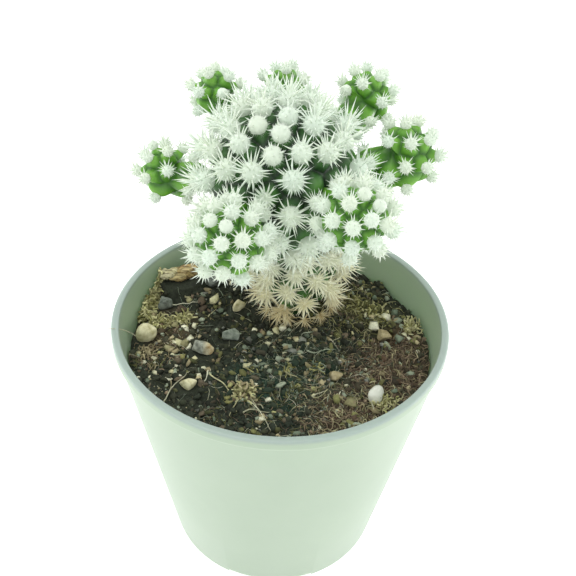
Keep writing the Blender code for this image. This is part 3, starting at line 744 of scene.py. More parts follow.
def bendSkin(head, bm):
    heights = np.linspace(0, head.length, 80)
    centres = np.array([head.centre(height) for height in heights])
    turns = np.array([np.array(head.turn(height).to_matrix()) for height in heights])
    co = np.array([vert.co for vert in bm.verts])
    z = np.clip(co[:, 2], 0, head.length)
    middle = np.stack([np.interp(z, heights, centres[:, axis]) for axis in range(3)], axis=1)
    across = np.zeros_like(co)
    for row in range(3):
        for column in range(2):
            across[:, row] += np.interp(z, heights, turns[:, row, column]) * co[:, column]
    # What stands past the ends of the middle line goes on straight
    rest = (co[:, 2] - z)[:, None] * np.where(co[:, 2:3] > 0, turns[-1][:, 2], turns[0][:, 2])
    for vert, place in zip(bm.verts, middle + across + rest):
        vert.co = place


def makeHeads(mother, offsets, motherFlesh, youngFlesh):
    trees = {}
    for head in [mother] + offsets:
        isMother = head is mother
        form = motherForm if isMother else offsetGrowth
        bm = headSkin(head, form["rowStep"], form["segments"], form["depth"])
        bmesh.ops.recalc_face_normals(bm, faces=bm.faces)
        trees[head.name] = BVHTree.FromBMesh(bm)
        name = head.name.replace("offset", "youngHead").replace("mother_stem", "motherHead")
        mesh = meshFromBmesh(name, bm)
        addPiece(name, mesh, motherFlesh if isMother else youngFlesh,
                 "mother_stem" if isMother else "offset", [head.name])
    return trees


mother = motherHead()
offsets = [offsetHead(name) for name in offsetForms]
placeSites(mother, offsets)
# Flesh colours run furrow, flank, tip: the furrow colour is painted shade and the tip colour painted
# light
motherFlesh = makeFlesh("motherFlesh", (0.004, 0.018, 0.006), (0.026, 0.10, 0.022),
                        (0.09, 0.25, 0.045))
youngFlesh = makeFlesh("youngFlesh", (0.025, 0.12, 0.006), (0.095, 0.30, 0.018),
                       (0.22, 0.46, 0.06))
fleshTrees = makeHeads(mother, offsets, motherFlesh, youngFlesh)
print("flesh is grown,", sum(len(head.sites) for head in [mother] + offsets), "tubercles")


# Spine stars

# Long needles and the short ones that make the white ball, with the widest lean from the
# star's axis, their radii and lengths over the star's reach or the ball's radius
starLooks = {
    "mother": dict(needles=34, lean=radians(100), radius=0.18 * mm, length=(0.74, 1.06),
                   bristles=210, bristleRadius=0.13 * mm, bristleLength=(0.95, 1.12)),
    "offset": dict(needles=26, lean=radians(100), radius=0.135 * mm, length=(0.78, 1.05),
                   bristles=120, bristleRadius=0.10 * mm, bristleLength=(0.95, 1.12)),
}
ball = dict(core=0.9, lift=0.28, flat=0.94)    # over the cushion's radius
oldStars = dict(fresh=64 * mm, oldest=43 * mm)      # heights between which the stars open up


def rodTemplate(sides, rings, tip=0, waist=1.0):
    # A rod from 0 to 1 along Z, pointed where tip is 0, with rings between its ends
    bm = bmesh.new()
    bmesh.ops.create_cone(bm, cap_ends=True, segments=sides, radius1=1, radius2=tip, depth=1,
                          matrix=Matrix.Translation((0, 0, 0.5)))
    bmesh.ops.remove_doubles(bm, verts=bm.verts, dist=0.001)
    for index in range(rings):
        height = (index + 1) / (rings + 1)
        bmesh.ops.bisect_plane(bm, geom=bm.verts[:] + bm.edges[:] + bm.faces[:],
                               plane_co=(0, 0, height), plane_no=(0, 0, 1))
    for vert in bm.verts:
        if 0.01 < vert.co.z < 0.99:
            vert.co.x *= waist
            vert.co.y *= waist
    bmesh.ops.recalc_face_normals(bm, faces=bm.faces)
    bm.verts.index_update()
    return templateFromBmesh(bm)


def sweepMesh(name, template, paths, radii, **values):
    # Lays a rod of radius 1 along each path; paths holds (copies, points, 3)
    corners, faces = template
    paths = np.array(paths)
    spots = corners[:, 2] * (paths.shape[1] - 1)
    low = np.minimum(spots.astype(int), paths.shape[1] - 2)
    share = (spots - low)[None, :, None]
    middle = paths[:, low] * (1 - share) + paths[:, low + 1] * share
    along = paths[:, low + 1] - paths[:, low]
    along /= np.linalg.norm(along, axis=2)[..., None] + 1e-12
    helper = np.where(np.abs(along[:, :1, 2:3]) < 0.8, [[[0, 0, 1.0]]], [[[1.0, 0, 0]]])
    first = np.cross(along, np.broadcast_to(helper, along.shape))
    first /= np.linalg.norm(first, axis=2)[..., None] + 1e-12
    second = np.cross(along, first)
    size = np.array(radii)[:, None, None]
    places = middle + size * (corners[None, :, 0:1] * second + corners[None, :, 1:2] * first)
    return copiesMesh(name, places, faces, **values)


def oldness(site):
    high, low = oldStars["fresh"], oldStars["oldest"]
    return max(0, min(1, (high - site["co"].z) / (high - low)))


def starTint(site, isMother, rng):
    tint = rng.uniform(0.0, 0.06)
    if isMother:
        old = oldness(site)
        tint += 0.36 * old ** 0.8 + max(0, old - 0.78) * rng.uniform(0.2, 1.4)
    return min(tint, 1)


def aimFrom(site, lean, turn):
    flat = site["down"] * cos(turn) + site["side"] * sin(turn)
    return flat * sin(lean) + site["normal"] * cos(lean)


def spread(count, widest, phase, rng):
    # Leans and turns spread evenly over a cap
    for index in range(count):
        share = (index + 0.5) / count
        lean = acos(1 - share * (1 - cos(widest))) + rng.uniform(-0.1, 0.1)
        yield lean, phase + index * goldenAngle + rng.uniform(-0.15, 0.15)


def starNeedles(head, site, look, others, tint, old, rng):
    # Rows of (path, radius, tint). Spines that point up and away from the plant grow longest,
    # and none goes through another head.
    rows = []
    away = site["co"] - motherForm["centre"]
    favoured = (Vector((0, 0, 1)) + 0.5 * away.normalized()).normalized()
    middle = site["co"] + site["normal"] * ball["lift"] * site["cushion"]
    reach = site["reach"] * (1 - 0.45 * site["young"]) * rng.uniform(0.94, 1.06)
    count = int(look["needles"] * (1 - 0.75 * site["young"]))
    for lean, turn in spread(count, look["lean"], rng.uniform(0, tau), rng):
        aim = aimFrom(site, lean, turn)
        length = reach * rng.uniform(*look["length"])
        length *= 0.76 + 0.24 * max(0, cos(lean)) + 0.28 * aim.dot(favoured)
        base = middle + aim * 0.3 * site["cushion"]
        hits = [tree.ray_cast(base, aim, length)[3] for tree in others]
        hits = [hit for hit in hits if hit is not None]
        if hits and min(hits) < 0.5 * length:
            continue
        if hits:
            length = min(hits) * 0.95
        bow = Vector([rng.uniform(-1, 1) for axis in range(3)]) * 0.04 * length
        path = (base, base + aim * length * 0.5 + bow, base + aim * length)
        rows.append((path, look["radius"] * rng.uniform(0.8, 1.15),
                     tint + rng.uniform(-0.03, 0.03)))
    return rows


def starBristles(site, look, tint, old, rng):
    rows = []
    middle = site["co"] + site["normal"] * ball["lift"] * site["cushion"]
    count = int(look["bristles"] * (1 - 0.75 * old))
    for lean, turn in spread(count, radians(115), rng.uniform(0, tau), rng):
        aim = aimFrom(site, lean, turn)
        length = site["cushion"] * rng.uniform(*look["bristleLength"])
        length *= 1 - 0.1 * site["young"] * rng.random()
        rows.append(((middle, middle + aim * length), look["bristleRadius"],
                     tint + rng.uniform(-0.02, 0.02)))
    return rows


def woolTemplate():
    bm = bmesh.new()
    bmesh.ops.create_uvsphere(bm, u_segments=8, v_segments=5, radius=1)
    for vert in bm.verts:
        vert.co *= 1 + 0.10 * noise.noise(vert.co * 1.9) + 0.06 * noise.noise(vert.co * 5)
    bm.verts.index_update()
    return templateFromBmesh(bm)


def woolMesh(name, rows, template):
    # rows holds (site, radius, tint) for each cushion
    corners, faces = template
    places = []
    for site, radius, tint in rows:
        turned = np.array([site["down"], site["side"], site["normal"]])
        middle = site["co"] + site["normal"] * ball["lift"] * site["cushion"]
        places.append((corners * (radius, radius, radius * ball["flat"])) @ turned
                      + np.array(middle))
    return copiesMesh(name, np.array(places), faces, tint=[row[2] for row in rows])


def makeStars(heads, trees, spineMaterial, woolMaterial):
    needle = rodTemplate(4, 1, 0, 1.35)
    bristle = rodTemplate(3, 0)
    wool = woolTemplate()
    rng = random.Random(5)
    for head in heads:
        isMother = head is mother
        look = starLooks["mother" if isMother else "offset"]
        others = [tree for name, tree in trees.items() if name != head.name]
        needles, bristles, cushions = [], [], []
        for site in head.sites:
            if not site["star"]:
                continue
            tint = starTint(site, isMother, rng)
            old = oldness(site) if isMother else 0
            needles += starNeedles(head, site, look, others, tint, old, rng)
            bristles += starBristles(site, look, tint, old, rng)
            core = ball["core"] - 0.10 * site["young"] - 0.45 * old
            cushions.append((site, site["cushion"] * core, tint))
        slotName = "mother_stem" if isMother else "offset"
        short = head.name.replace("offset_", "").replace("mother_stem", "mother")
        for kind, template, rows in (("spines_", needle, needles), ("bristles_", bristle, bristles)):
            mesh = sweepMesh(kind + short, template, [row[0] for row in rows],
                             [row[1] for row in rows], tint=[row[2] for row in rows])
            addPiece(kind + short, mesh, spineMaterial, slotName)
        addPiece("wool_" + short, woolMesh("wool_" + short, cushions, wool),
                 woolMaterial, slotName)


spineLook = makeSpineWhite("spineWhite", 0.5, 0.0)
makeStars([mother] + offsets, fleshTrees, spineLook, makeSpineWhite("areoleWool", 0.8, 0.3))
print("spine stars are grown")


# Soil

soilForm = dict(level=40.6 * mm, crumb=1.7 * mm, crumbSize=3.6 * mm, rings=96, segments=384,
                mound=(Vector((-17.5, 13.5, 0)) * mm, 2.3 * mm, 5.5 * mm))

# Loose stones: place, size, turn in degrees
stoneForms = {
    "pebble_white": ((15.4, -12.0), (2.6, 3.3, 2.3), -15),
    "stone_two_tone": ((-12.7, -3.1), (3.8, 3.0, 2.2), -25),
    "stone_green_grey": ((-8.4, 0.4), (3.2, 2.4, 1.9), 10),
    "pebble_cream_left": ((-14.2, -11.2), (2.9, 1.9, 1.5), 5),
    "stone_grey_left": ((-20.3, 7.4), (3.2, 2.5, 1.9), 50),
    "stone_grey_back": ((-12.6, 14.2), (4.2, 3.2, 2.4), -10),
    "chip_cream_soft": ((-7.6, 7.6), (3.0, 2.2, 1.7), 35),
    "stone_tan_right": ((17.6, 2.6), (3.0, 2.3, 1.7), -40),
    "chip_tan_front": ((9.2, -7.6), (2.8, 2.0, 1.3), 15),
    "lump_tan": ((-22.6, -0.2), (3.8, 3.2, 3.0), 0),
}
chipForm = dict(place=(-18.3, 13.2), size=(7.0, 3.6, 1.5), turn=32)

# Colour of the mix, and the patches that differ: place and reach in mm, colour
earthColour = (0.027, 0.033, 0.020)
earthPatches = [
    ((-1, -10), 8.5, (0.020, 0.048, 0.030)),      # green film of algae
    ((6, -4), 6, (0.022, 0.044, 0.026)),
    ((18, -6), 7, (0.105, 0.062, 0.035)),         # reddish fibrous peat
    ((12, -16), 6.5, (0.090, 0.058, 0.036)),
    ((21, 2), 4, (0.10, 0.065, 0.03)),
    ((-19, 2), 5, (0.085, 0.062, 0.035)),         # brown rim on the left
    ((16, 8), 5, (0.08, 0.075, 0.03)),
]


def groundHeight(x, y):
    form = soilForm
    place = Vector((x, y, 0))
    crumbs = noise.voronoi(place / form["crumbSize"])[0][0]
    swell = noise.noise(place / (9 * mm))
    moundPlace, moundHeight, moundSpread = form["mound"]
    mound = moundHeight * 2 ** -((place - moundPlace).length / moundSpread) ** 2
    return form["level"] + mound + form["crumb"] * (0.6 - crumbs) + 0.5 * mm * swell


def seatHeight(x, y):
    # The surface with its flat seats under the loose stones
    for (placeX, placeY), size, turn in list(stoneForms.values()) + [tuple(chipForm.values())]:
        away = hypot(x - placeX * mm, y - placeY * mm)
        if away < (size[0] / 2 + 0.5) * mm:
            return groundHeight(placeX * mm, placeY * mm)
    return None


def topHeight(x, y):
    seat = seatHeight(x, y)
    height = groundHeight(x, y) if seat is None else seat
    place = Vector((x, y, 0))
    fine = noise.fractal(place / (1.6 * mm), 0.8, 2.0, 4)
    return height + (0.34 * mm * fine if seat is None else 0.08 * mm * fine)


def earthAt(x, y):
    colour = earthColour
    for (patchX, patchY), reach, patchColour in earthPatches:
        wobble = 1 + 0.35 * noise.noise(Vector((x, y, 0)) / (3 * mm))
        away = hypot(x / mm - patchX, y / mm - patchY) / (reach * wobble)
        share = max(0, min(1, 1.5 - away * 1.2))
        colour = mixColours(colour, patchColour, share)
    return colour


def makeSoil(material):
    form = soilForm
    bottom = potForm["floorTop"] + 0.1 * mm
    edge = innerRadius(form["level"])
    points = [(edge * index / form["rings"], form["level"]) for index in range(form["rings"] + 1)]
    points += [(innerRadius(30 * mm), 30 * mm), (innerRadius(bottom), bottom), (0, bottom)]
    bm = spinProfile(points, form["segments"])
    for vert in bm.verts:
        x, y, z = vert.co
        if z < form["level"] - 0.1 * mm:
            vert.co.x *= 1 - 0.1 * mm / max(hypot(x, y), 1 * mm)
            vert.co.y *= 1 - 0.1 * mm / max(hypot(x, y), 1 * mm)
            continue
        away = hypot(x, y)
        z = topHeight(x, y)
        if away > edge - 1.2 * mm:
            z -= 0.5 * (away - edge + 1.2 * mm)
        tight = min(1, (innerRadius(z) - 0.12 * mm) / away) if away > edge - 0.5 * mm else 1
        vert.co = (x * tight, y * tight, z)
    mesh = meshFromBmesh("soilBed", bm)
    colours = np.array([earthAt(vert.co.x, vert.co.y) for vert in mesh.vertices])
    addValue(mesh, "colour", colours)
    addPiece("soilBed", mesh, material, "soil", ["soil"])


soilLook = makeTinted("peatMix", 0.95, 2600, 0.35 * mm, 0.5, 1300)
makeSoil(soilLook)
print("soil is filled")


# Crumbs, chips and stones

def lumpTemplates(count, corners, low, high, seed):
    # Hulls round corners spread over a ball, each low to high from its middle
    templates = []
    for index in range(count):
        rng = random.Random(seed + index)
        bm = bmesh.new()
        for corner in range(corners):
            up = 1 - 2 * (corner + 0.5) / corners
            turn = corner * goldenAngle + rng.uniform(-0.5, 0.5)
            around = (1 - up * up) ** 0.5
            co = Vector((around * cos(turn), around * sin(turn), up)) * rng.uniform(low, high)
            bm.verts.new(co)
        bmesh.ops.convex_hull(bm, input=bm.verts)
        loose = [vert for vert in bm.verts if not vert.link_faces]
        bmesh.ops.delete(bm, geom=loose, context="VERTS")
        bmesh.ops.recalc_face_normals(bm, faces=bm.faces)
        bm.verts.index_update()
        templates.append(templateFromBmesh(bm))
    return templates


def scatterLumps(name, templates, rows, material, smooth, slotName):
    # rows holds (place, sizes, turn, colour); each template makes a share of the lumps
    for index, (corners, faces) in enumerate(templates):
        share = rows[index::len(templates)]
        places = []
        for place, sizes, turn, colour in share:
            spin = np.array(Euler(turn).to_matrix())
            places.append((corners * sizes) @ spin.T + np.array(place))
        mesh = copiesMesh(name + str(index), np.array(places), faces, smooth,
                          colour=[row[3] for row in share])
        addPiece(name + str(index), mesh, material, slotName)


def insideSoil(x, y, margin=0.6 * mm):
    away = hypot(x, y)
    foot = motherForm["foot"]
    nearStem = hypot(x - foot.x, y - foot.y) < motherForm["footRadius"] - 0.8 * mm
    return away < innerRadius(soilForm["level"]) - margin and not nearStem


def randomSpot(rng, margin=0.6 * mm):
    while True:
        reach = innerRadius(soilForm["level"])
        x = rng.uniform(-reach, reach)
        y = rng.uniform(-reach, reach)
        if insideSoil(x, y, margin):
            return x, y


# Colours of the loose mix, each from dark to light
mixTones = {
    "peat": ((0.010, 0.012, 0.007), (0.062, 0.066, 0.038)),
    "redPeat": ((0.075, 0.055, 0.035), (0.36, 0.27, 0.18)),
    "olive": ((0.05, 0.055, 0.02), (0.24, 0.24, 0.09)),
    "moss": ((0.18, 0.17, 0.05), (0.58, 0.57, 0.26)),
    "dryMoss": ((0.21, 0.195, 0.08), (0.76, 0.73, 0.40)),
    "straw": ((0.26, 0.24, 0.12), (0.72, 0.69, 0.42)),
    "tan": ((0.20, 0.165, 0.09), (0.54, 0.47, 0.28)),
    "cream": ((0.60, 0.58, 0.38), (0.88, 0.87, 0.68)),
    "grey": ((0.09, 0.095, 0.08), (0.29, 0.30, 0.26)),
    "greyGreen": ((0.12, 0.16, 0.11), (0.40, 0.45, 0.33)),
    "root": ((0.40, 0.39, 0.26), (0.74, 0.73, 0.56)),
}


def pickTone(name, rng):
    dark, light = mixTones[name]
    return mixColours(dark, light, rng.random())


def crumbColour(x, y, rng):
    pick = rng.random()
    if pick < 0.66:
        return mixColours(earthAt(x, y), pickTone("peat", rng), rng.random())
    if pick < 0.74:
        return mixColours(earthAt(x, y), pickTone("redPeat", rng), 0.5)
    if pick < 0.84:
        return mixColours(earthAt(x, y), pickTone("olive", rng), rng.random())
    return pickTone("olive" if pick < 0.89 else "greyGreen" if pick < 0.96 else "tan", rng)


def makeCrumbs(material):
    crumbs = dict(count=5200, small=0.14 * mm, large=0.85 * mm)
    rng = random.Random(21)
    rows = []
    for index in range(crumbs["count"]):
        x, y = randomSpot(rng)
        if seatHeight(x, y) is not None:
            continue
        size = crumbs["small"] + (crumbs["large"] - crumbs["small"]) * rng.random() ** 3.2
        sizes = [size * rng.uniform(0.8, 1.5), size * rng.uniform(0.5, 1.1),
                 size * rng.uniform(0.4, 0.8)]
        turn = [rng.uniform(-0.5, 0.5), rng.uniform(-0.5, 0.5), rng.uniform(0, tau)]
        z = topHeight(x, y) + size * 0.2
        rows.append(((x, y, z), sizes, turn, crumbColour(x, y, rng)))
    scatterLumps("crumbs_", lumpTemplates(6, 18, 0.7, 1.1, 3), rows, material, False, "soil")


def spotsIn(zone, rng, margin=0.6 * mm):
    # Free places in a round zone of the soil, thicker towards its middle
    for index in range(zone["count"]):
        turn = rng.uniform(0, tau)
        away = zone["reach"] * rng.random() ** 0.6
        x = (zone["place"][0] + away * cos(turn)) * mm
        y = (zone["place"][1] + away * sin(turn)) * mm
        if insideSoil(x, y, margin) and seatHeight(x, y) is None:
            yield x, y


# Chips and flakes that the eye picks out lie in zones: place and reach in mm, how many, lengths
# in mm, tones. Stray ones lie all over.
chipZones = [
    dict(place=(-16, -5), reach=5.5, count=24, length=(0.6, 1.8),
         tones=("cream", "cream", "cream", "straw", "moss")),
    dict(place=(-16, 0), reach=3.5, count=10, length=(1.2, 2.3), tones=("cream", "straw", "cream")),
    dict(place=(-21, -3), reach=4.5, count=12, length=(1.4, 2.8),
         tones=("tan", "tan", "straw", "cream")),
    dict(place=(-12, 9), reach=6, count=12, length=(1.4, 2.9),
         tones=("grey", "greyGreen", "redPeat", "straw")),
    dict(place=(-1, -2), reach=6, count=24, length=(0.6, 2.2),
         tones=("cream", "greyGreen", "root", "greyGreen", "grey", "straw")),
    dict(place=(0, -11), reach=9, count=18, length=(0.8, 2.0),
         tones=("moss", "olive", "tan", "moss", "greyGreen", "cream")),
    dict(place=(20, 6), reach=5.5, count=20, length=(1.3, 2.8),
         tones=("moss", "cream", "tan", "greyGreen", "cream")),
    dict(place=(15, -14), reach=4, count=9, length=(1.6, 3.0), tones=("tan", "straw", "tan")),
]
strayChips = dict(count=700, length=(0.3, 1.25),
                  tones=("grey", "grey", "tan", "olive", "redPeat", "straw", "cream", "greyGreen"))


def chipRow(x, y, length, tones, rng):
    # Place, half sizes, turn and colour of a chip that lies nearly flat
    half = [length / 2, length / 2 * rng.uniform(0.5, 0.9), length / 2 * rng.uniform(0.3, 0.65)]
    turn = (rng.uniform(-0.3, 0.3), rng.uniform(-0.3, 0.3), rng.uniform(0, tau))
    return (x, y, topHeight(x, y) + 0.6 * half[2]), half, turn, pickTone(rng.choice(tones), rng)


def makeChips(material):
    rng = random.Random(8)
    rows = []
    for zone in chipZones:
        for x, y in spotsIn(zone, rng, zone["length"][1] / 2 * mm):
            rows.append(chipRow(x, y, rng.uniform(*zone["length"]) * mm, zone["tones"], rng))
    small, large = strayChips["length"]
    for index in range(strayChips["count"]):
        x, y = randomSpot(rng, 0.9 * mm)
        if seatHeight(x, y) is None:
            length = (small + (large - small) * rng.random() ** 2.4) * mm
            rows.append(chipRow(x, y, length, strayChips["tones"], rng))
    scatterLumps("chips_", lumpTemplates(7, 9, 0.8, 1.2, 40), rows, material, False, "soil")


# Fibres lie where the peat is torn: place and reach of a zone in mm, how many, length and
# radius in mm, height of their arches, tones
fibreZones = [
    dict(place=(0, -4), reach=25, count=900, length=(1.0, 4.0), radius=0.05, rise=0.4,
         tones=("olive", "greyGreen", "peat", "root")),
    dict(place=(6, -6), reach=10, count=420, length=(1.2, 5.0), radius=0.045, rise=0.5,
         tones=("greyGreen", "greyGreen", "olive", "root")),
    dict(place=(19, -5), reach=8, count=900, length=(0.7, 2.4), radius=0.10, rise=0.8,
         tones=("redPeat", "redPeat", "redPeat", "tan")),
    dict(place=(11.5, -15), reach=8.5, count=800, length=(0.7, 2.6), radius=0.09, rise=0.8,
         tones=("redPeat", "redPeat", "tan", "straw")),
    dict(place=(13, 9), reach=8, count=420, length=(0.8, 2.6), radius=0.08, rise=0.7,
         tones=("olive", "moss", "olive", "straw")),
    dict(place=(-21, -3), reach=5, count=320, length=(0.7, 2.2), radius=0.09, rise=0.6,
         tones=("redPeat", "tan", "olive")),
    dict(place=(-4, -17), reach=7, count=260, length=(0.8, 2.4), radius=0.07, rise=0.4,
         tones=("peat", "redPeat", "olive")),
]


def keepInPot(x, y, margin=0.25 * mm):
    reach = innerRadius(soilForm["level"]) - margin
    away = hypot(x, y)
    return (x, y) if away < reach else (x * reach / away, y * reach / away)


def crawl(x, y, heading, length, rise, curl, rng, bend=0, points=6):
    # Wanders over the soil in an arch, turning by bend over its length
    path = []
    for index in range(points):
        x, y = keepInPot(x, y)
        z = topHeight(x, y) + 0.05 * mm + rise * sin(pi * index / (points - 1))
        path.append((x, y, z))
        heading += rng.uniform(-curl, curl) + bend / points
        x += cos(heading) * length / (points - 1)
        y += sin(heading) * length / (points - 1)
    return path


def makeFibres(material):
    rng = random.Random(31)
    rows = []
    for zone in fibreZones:
        for x, y in spotsIn(zone, rng):
            length = rng.uniform(*zone["length"]) * mm
            rise = zone["rise"] * rng.random() ** 2 * mm
            path = crawl(x, y, rng.uniform(0, tau), length, rise, 0.7, rng)
            rows.append((path, zone["radius"] * rng.uniform(0.6, 1.3) * mm,
                         pickTone(rng.choice(zone["tones"]), rng)))
    addPiece("peatFibres", sweepMesh("peatFibres", rodTemplate(3, 5, 0.5),
                                     [row[0] for row in rows], [row[1] for row in rows],
                                     colour=[row[2] for row in rows]), material, "soil")


# Moss grows in runs of tufts: where a run starts and ends, how many tufts, their reach and height
# and the radius of their curls in mm, curls in a tuft, tones
mossRuns = [
    dict(start=(-22.5, 13), end=(-24, 4.5), tufts=6, reach=1.3, height=2.1, radius=0.22, curls=52,
         tones=("dryMoss", "dryMoss", "moss")),
    dict(start=(-22.5, 3), end=(-16, 4), tufts=5, reach=1.1, height=1.3, radius=0.19, curls=42,
         tones=("dryMoss", "dryMoss", "moss")),
    dict(start=(-5, -13), end=(-5, -13), tufts=1, reach=1.9, height=2.0, radius=0.26, curls=85,
         tones=("dryMoss", "dryMoss", "tan")),
    dict(start=(-6, -7), end=(8.5, -6), tufts=3, reach=1.2, height=0.8, radius=0.14, curls=32,
         tones=("greyGreen", "moss")),
    dict(start=(6.5, -10.5), end=(-8, -15), tufts=2, reach=1.4, height=0.8, radius=0.14, curls=36,
         tones=("greyGreen", "olive")),
    dict(start=(11.5, 12.5), end=(18, 8.5), tufts=5, reach=1.5, height=1.6, radius=0.21, curls=52,
         tones=("moss", "dryMoss", "olive")),
    dict(start=(23, 6.5), end=(22.5, 3), tufts=2, reach=1.1, height=1.2, radius=0.19, curls=35,
         tones=("dryMoss", "straw")),
    dict(start=(15.5, -14), end=(18.5, -12.5), tufts=2, reach=1.5, height=0.9, radius=0.18,
         curls=45, tones=("dryMoss", "moss")),
    dict(start=(-22, -4), end=(-22, -4), tufts=1, reach=1.3, height=1.0, radius=0.18, curls=35,
         tones=("tan",)),
]


def curlPath(co, rng):
    # A short curl that turns this way and that from its start
    path = []
    heading = Vector([rng.uniform(-1, 1) for axis in range(3)]).normalized()
    for step in range(6):
        path.append(tuple(co))
        heading += Vector([rng.uniform(-0.9, 0.9) for axis in range(3)])
        heading.normalize()
        co += heading * 0.3 * mm
        co.x, co.y = keepInPot(co.x, co.y)
    return path


def makeTufts(material):
    rng = random.Random(17)
    rows = []
    for run in mossRuns:
        start, end = Vector(run["start"]), Vector(run["end"])
        for tuft in range(run["tufts"]):
            middle = start.lerp(end, (tuft + 0.5) / run["tufts"])
            for curl in range(run["curls"]):
                turn = rng.uniform(0, tau)
                share = rng.random() ** 0.5
                away = run["reach"] * share
                x, y = keepInPot((middle.x + away * cos(turn)) * mm,
                                 (middle.y + away * sin(turn)) * mm)
                crown = run["height"] * mm * (1 - share ** 2)
                path = curlPath(Vector((x, y, topHeight(x, y) + crown * rng.random())), rng)
                rows.append((path, run["radius"] * rng.uniform(0.7, 1.3) * mm,
                             pickTone(rng.choice(run["tones"]), rng)))
    addPiece("mossTufts", sweepMesh("mossTufts", rodTemplate(4, 5, 0.6),
                                    [row[0] for row in rows], [row[1] for row in rows],
                                    colour=[row[2] for row in rows]), material, "soil")


# Roots and twigs that show: start in mm, heading and bend in degrees, length, radius and height
# of the arch in mm, tone. Stray ones lie all over.
rootForms = [
    dict(start=(-17.5, -15), heading=80, bend=-60, length=8, radius=0.11, rise=0.7, tone="root"),
    dict(start=(-11.5, -8), heading=-60, bend=0, length=8, radius=0.14, rise=0.4, tone="straw"),
    dict(start=(-4.5, -14), heading=-65, bend=0, length=7, radius=0.12, rise=0.6, tone="root"),
    dict(start=(-4.5, -13.5), heading=-55, bend=-10, length=4, radius=0.11, rise=0.7, tone="root"),
    dict(start=(-5.5, -14), heading=-115, bend=0, length=4, radius=0.13, rise=0.3, tone="straw"),
    dict(start=(5.5, -13), heading=40, bend=-25, length=3.5, radius=0.13, rise=0.5, tone="root"),
    dict(start=(4.5, -2.5), heading=-13, bend=15, length=5, radius=0.12, rise=0.6,
         tone="greyGreen"),
    dict(start=(-20.5, 8.5), heading=-45, bend=80, length=7, radius=0.10, rise=0.5, tone="root"),
]
strayRoots = dict(count=15, bend=60, length=(2, 5), radius=(0.07, 0.15), rise=(0.3, 0.7),
                  tones=("root", "root", "straw", "greyGreen", "tan"))
rootPoints = 24
hairPath = [(-23.6, -3.2, 43.5), (-25.0, -4.6, 46.6), (-26.2, -6.0, 47.5), (-28.4, -6.2, 47.4)]


def makeRoots(material):
    rng = random.Random(4)
    forms = list(rootForms)
    for index in range(strayRoots["count"]):
        x, y = randomSpot(rng, 2 * mm)
        forms.append(dict(start=(x / mm, y / mm), heading=rng.uniform(0, 360),
                          bend=rng.uniform(-strayRoots["bend"], strayRoots["bend"]),
                          length=rng.uniform(*strayRoots["length"]),
                          radius=rng.uniform(*strayRoots["radius"]),
                          rise=rng.uniform(*strayRoots["rise"]),
                          tone=rng.choice(strayRoots["tones"])))
    rows = []
    for form in forms:
        x, y = form["start"]
        path = crawl(x * mm, y * mm, radians(form["heading"]), form["length"] * mm,
                     form["rise"] * mm, 0.12, rng, radians(form["bend"]), rootPoints)
        path = [(x, y, z + form["radius"] * mm) for x, y, z in path]
        rows.append((path, form["radius"] * mm, pickTone(form["tone"], rng)))
    hair = interpolate_bezier(*[Vector(co) * mm for co in hairPath], rootPoints)
    rows.append(([tuple(co) for co in hair], 0.09 * mm, pickTone("root", rng)))
    addPiece("fineRoots", sweepMesh("fineRoots", rodTemplate(6, rootPoints - 1, 0.4),
                                    [row[0] for row in rows], [row[1] for row in rows],
                                    colour=[row[2] for row in rows]), material, "soil")


# Dead spines round the stem's foot: height over the soil, turn in degrees round the stem
deadStars = dict(places=((1.6, 222), (1.2, 240), (1.4, 258), (1.3, 282), (1.4, 308), (1.6, 332),
                         (1.8, 350)),
                 out=6.6 * mm, needles=30, length=(1.6, 3.0), radius=0.11 * mm)


def makeDeadSpines(material):
    rng = random.Random(12)
    form = deadStars
    rows = []
    for height, turn in form["places"]:
        out = Vector((cos(radians(turn)), sin(radians(turn)), 0.1)).normalized()
        foot = Vector((motherForm["foot"].x, motherForm["foot"].y, 0))
        middle = foot + out * form["out"] + Vector((0, 0, soilForm["level"] + height * mm))
        side = out.cross(Vector((0, 0, 1))).normalized()
        up = side.cross(out)
        for lean, angle in spread(form["needles"], radians(88), rng.uniform(0, tau), rng):
            aim = (side * cos(angle) + up * sin(angle)) * sin(lean) + out * cos(lean)
            tip = middle + aim * rng.uniform(*form["length"]) * mm
            rows.append(((middle, tip), form["radius"], rng.uniform(0.42, 0.85)))
    addPiece("deadSpines", sweepMesh("deadSpines", rodTemplate(4, 1, 0, 1.2),
                                     [row[0] for row in rows], [row[1] for row in rows],
                                     tint=[row[2] for row in rows]), material, "mother_stem")


looseLook = makeTinted("looseMix", 0.92, 3000, 0.08 * mm, 0.3, 1500)
makeCrumbs(looseLook)
makeChips(looseLook)
print("crumbs and chips are strewn")
makeFibres(looseLook)
makeTufts(looseLook)
makeRoots(looseLook)
makeDeadSpines(spineLook)
print("fibres, moss and roots are laid")


def faceted(bm, sides, sharpness, rng):
    # Cuts flat sides on a ball, with edges as keen as sharpness says
    planes = []
    for index in range(sides):
        up = 1 - 2 * (index + 0.5) / sides
        turn = index * 2.4 + rng.uniform(-0.5, 0.5)
        around = (1 - up * up) ** 0.5
        planes.append(Vector((around * cos(turn), around * sin(turn), up)) / rng.uniform(0.72, 1))
    planes = np.array(planes)
    for vert in bm.verts:
        dots = np.maximum(planes @ np.array(vert.co), 0)
        vert.co *= (dots ** sharpness).sum() ** (-1 / sharpness)


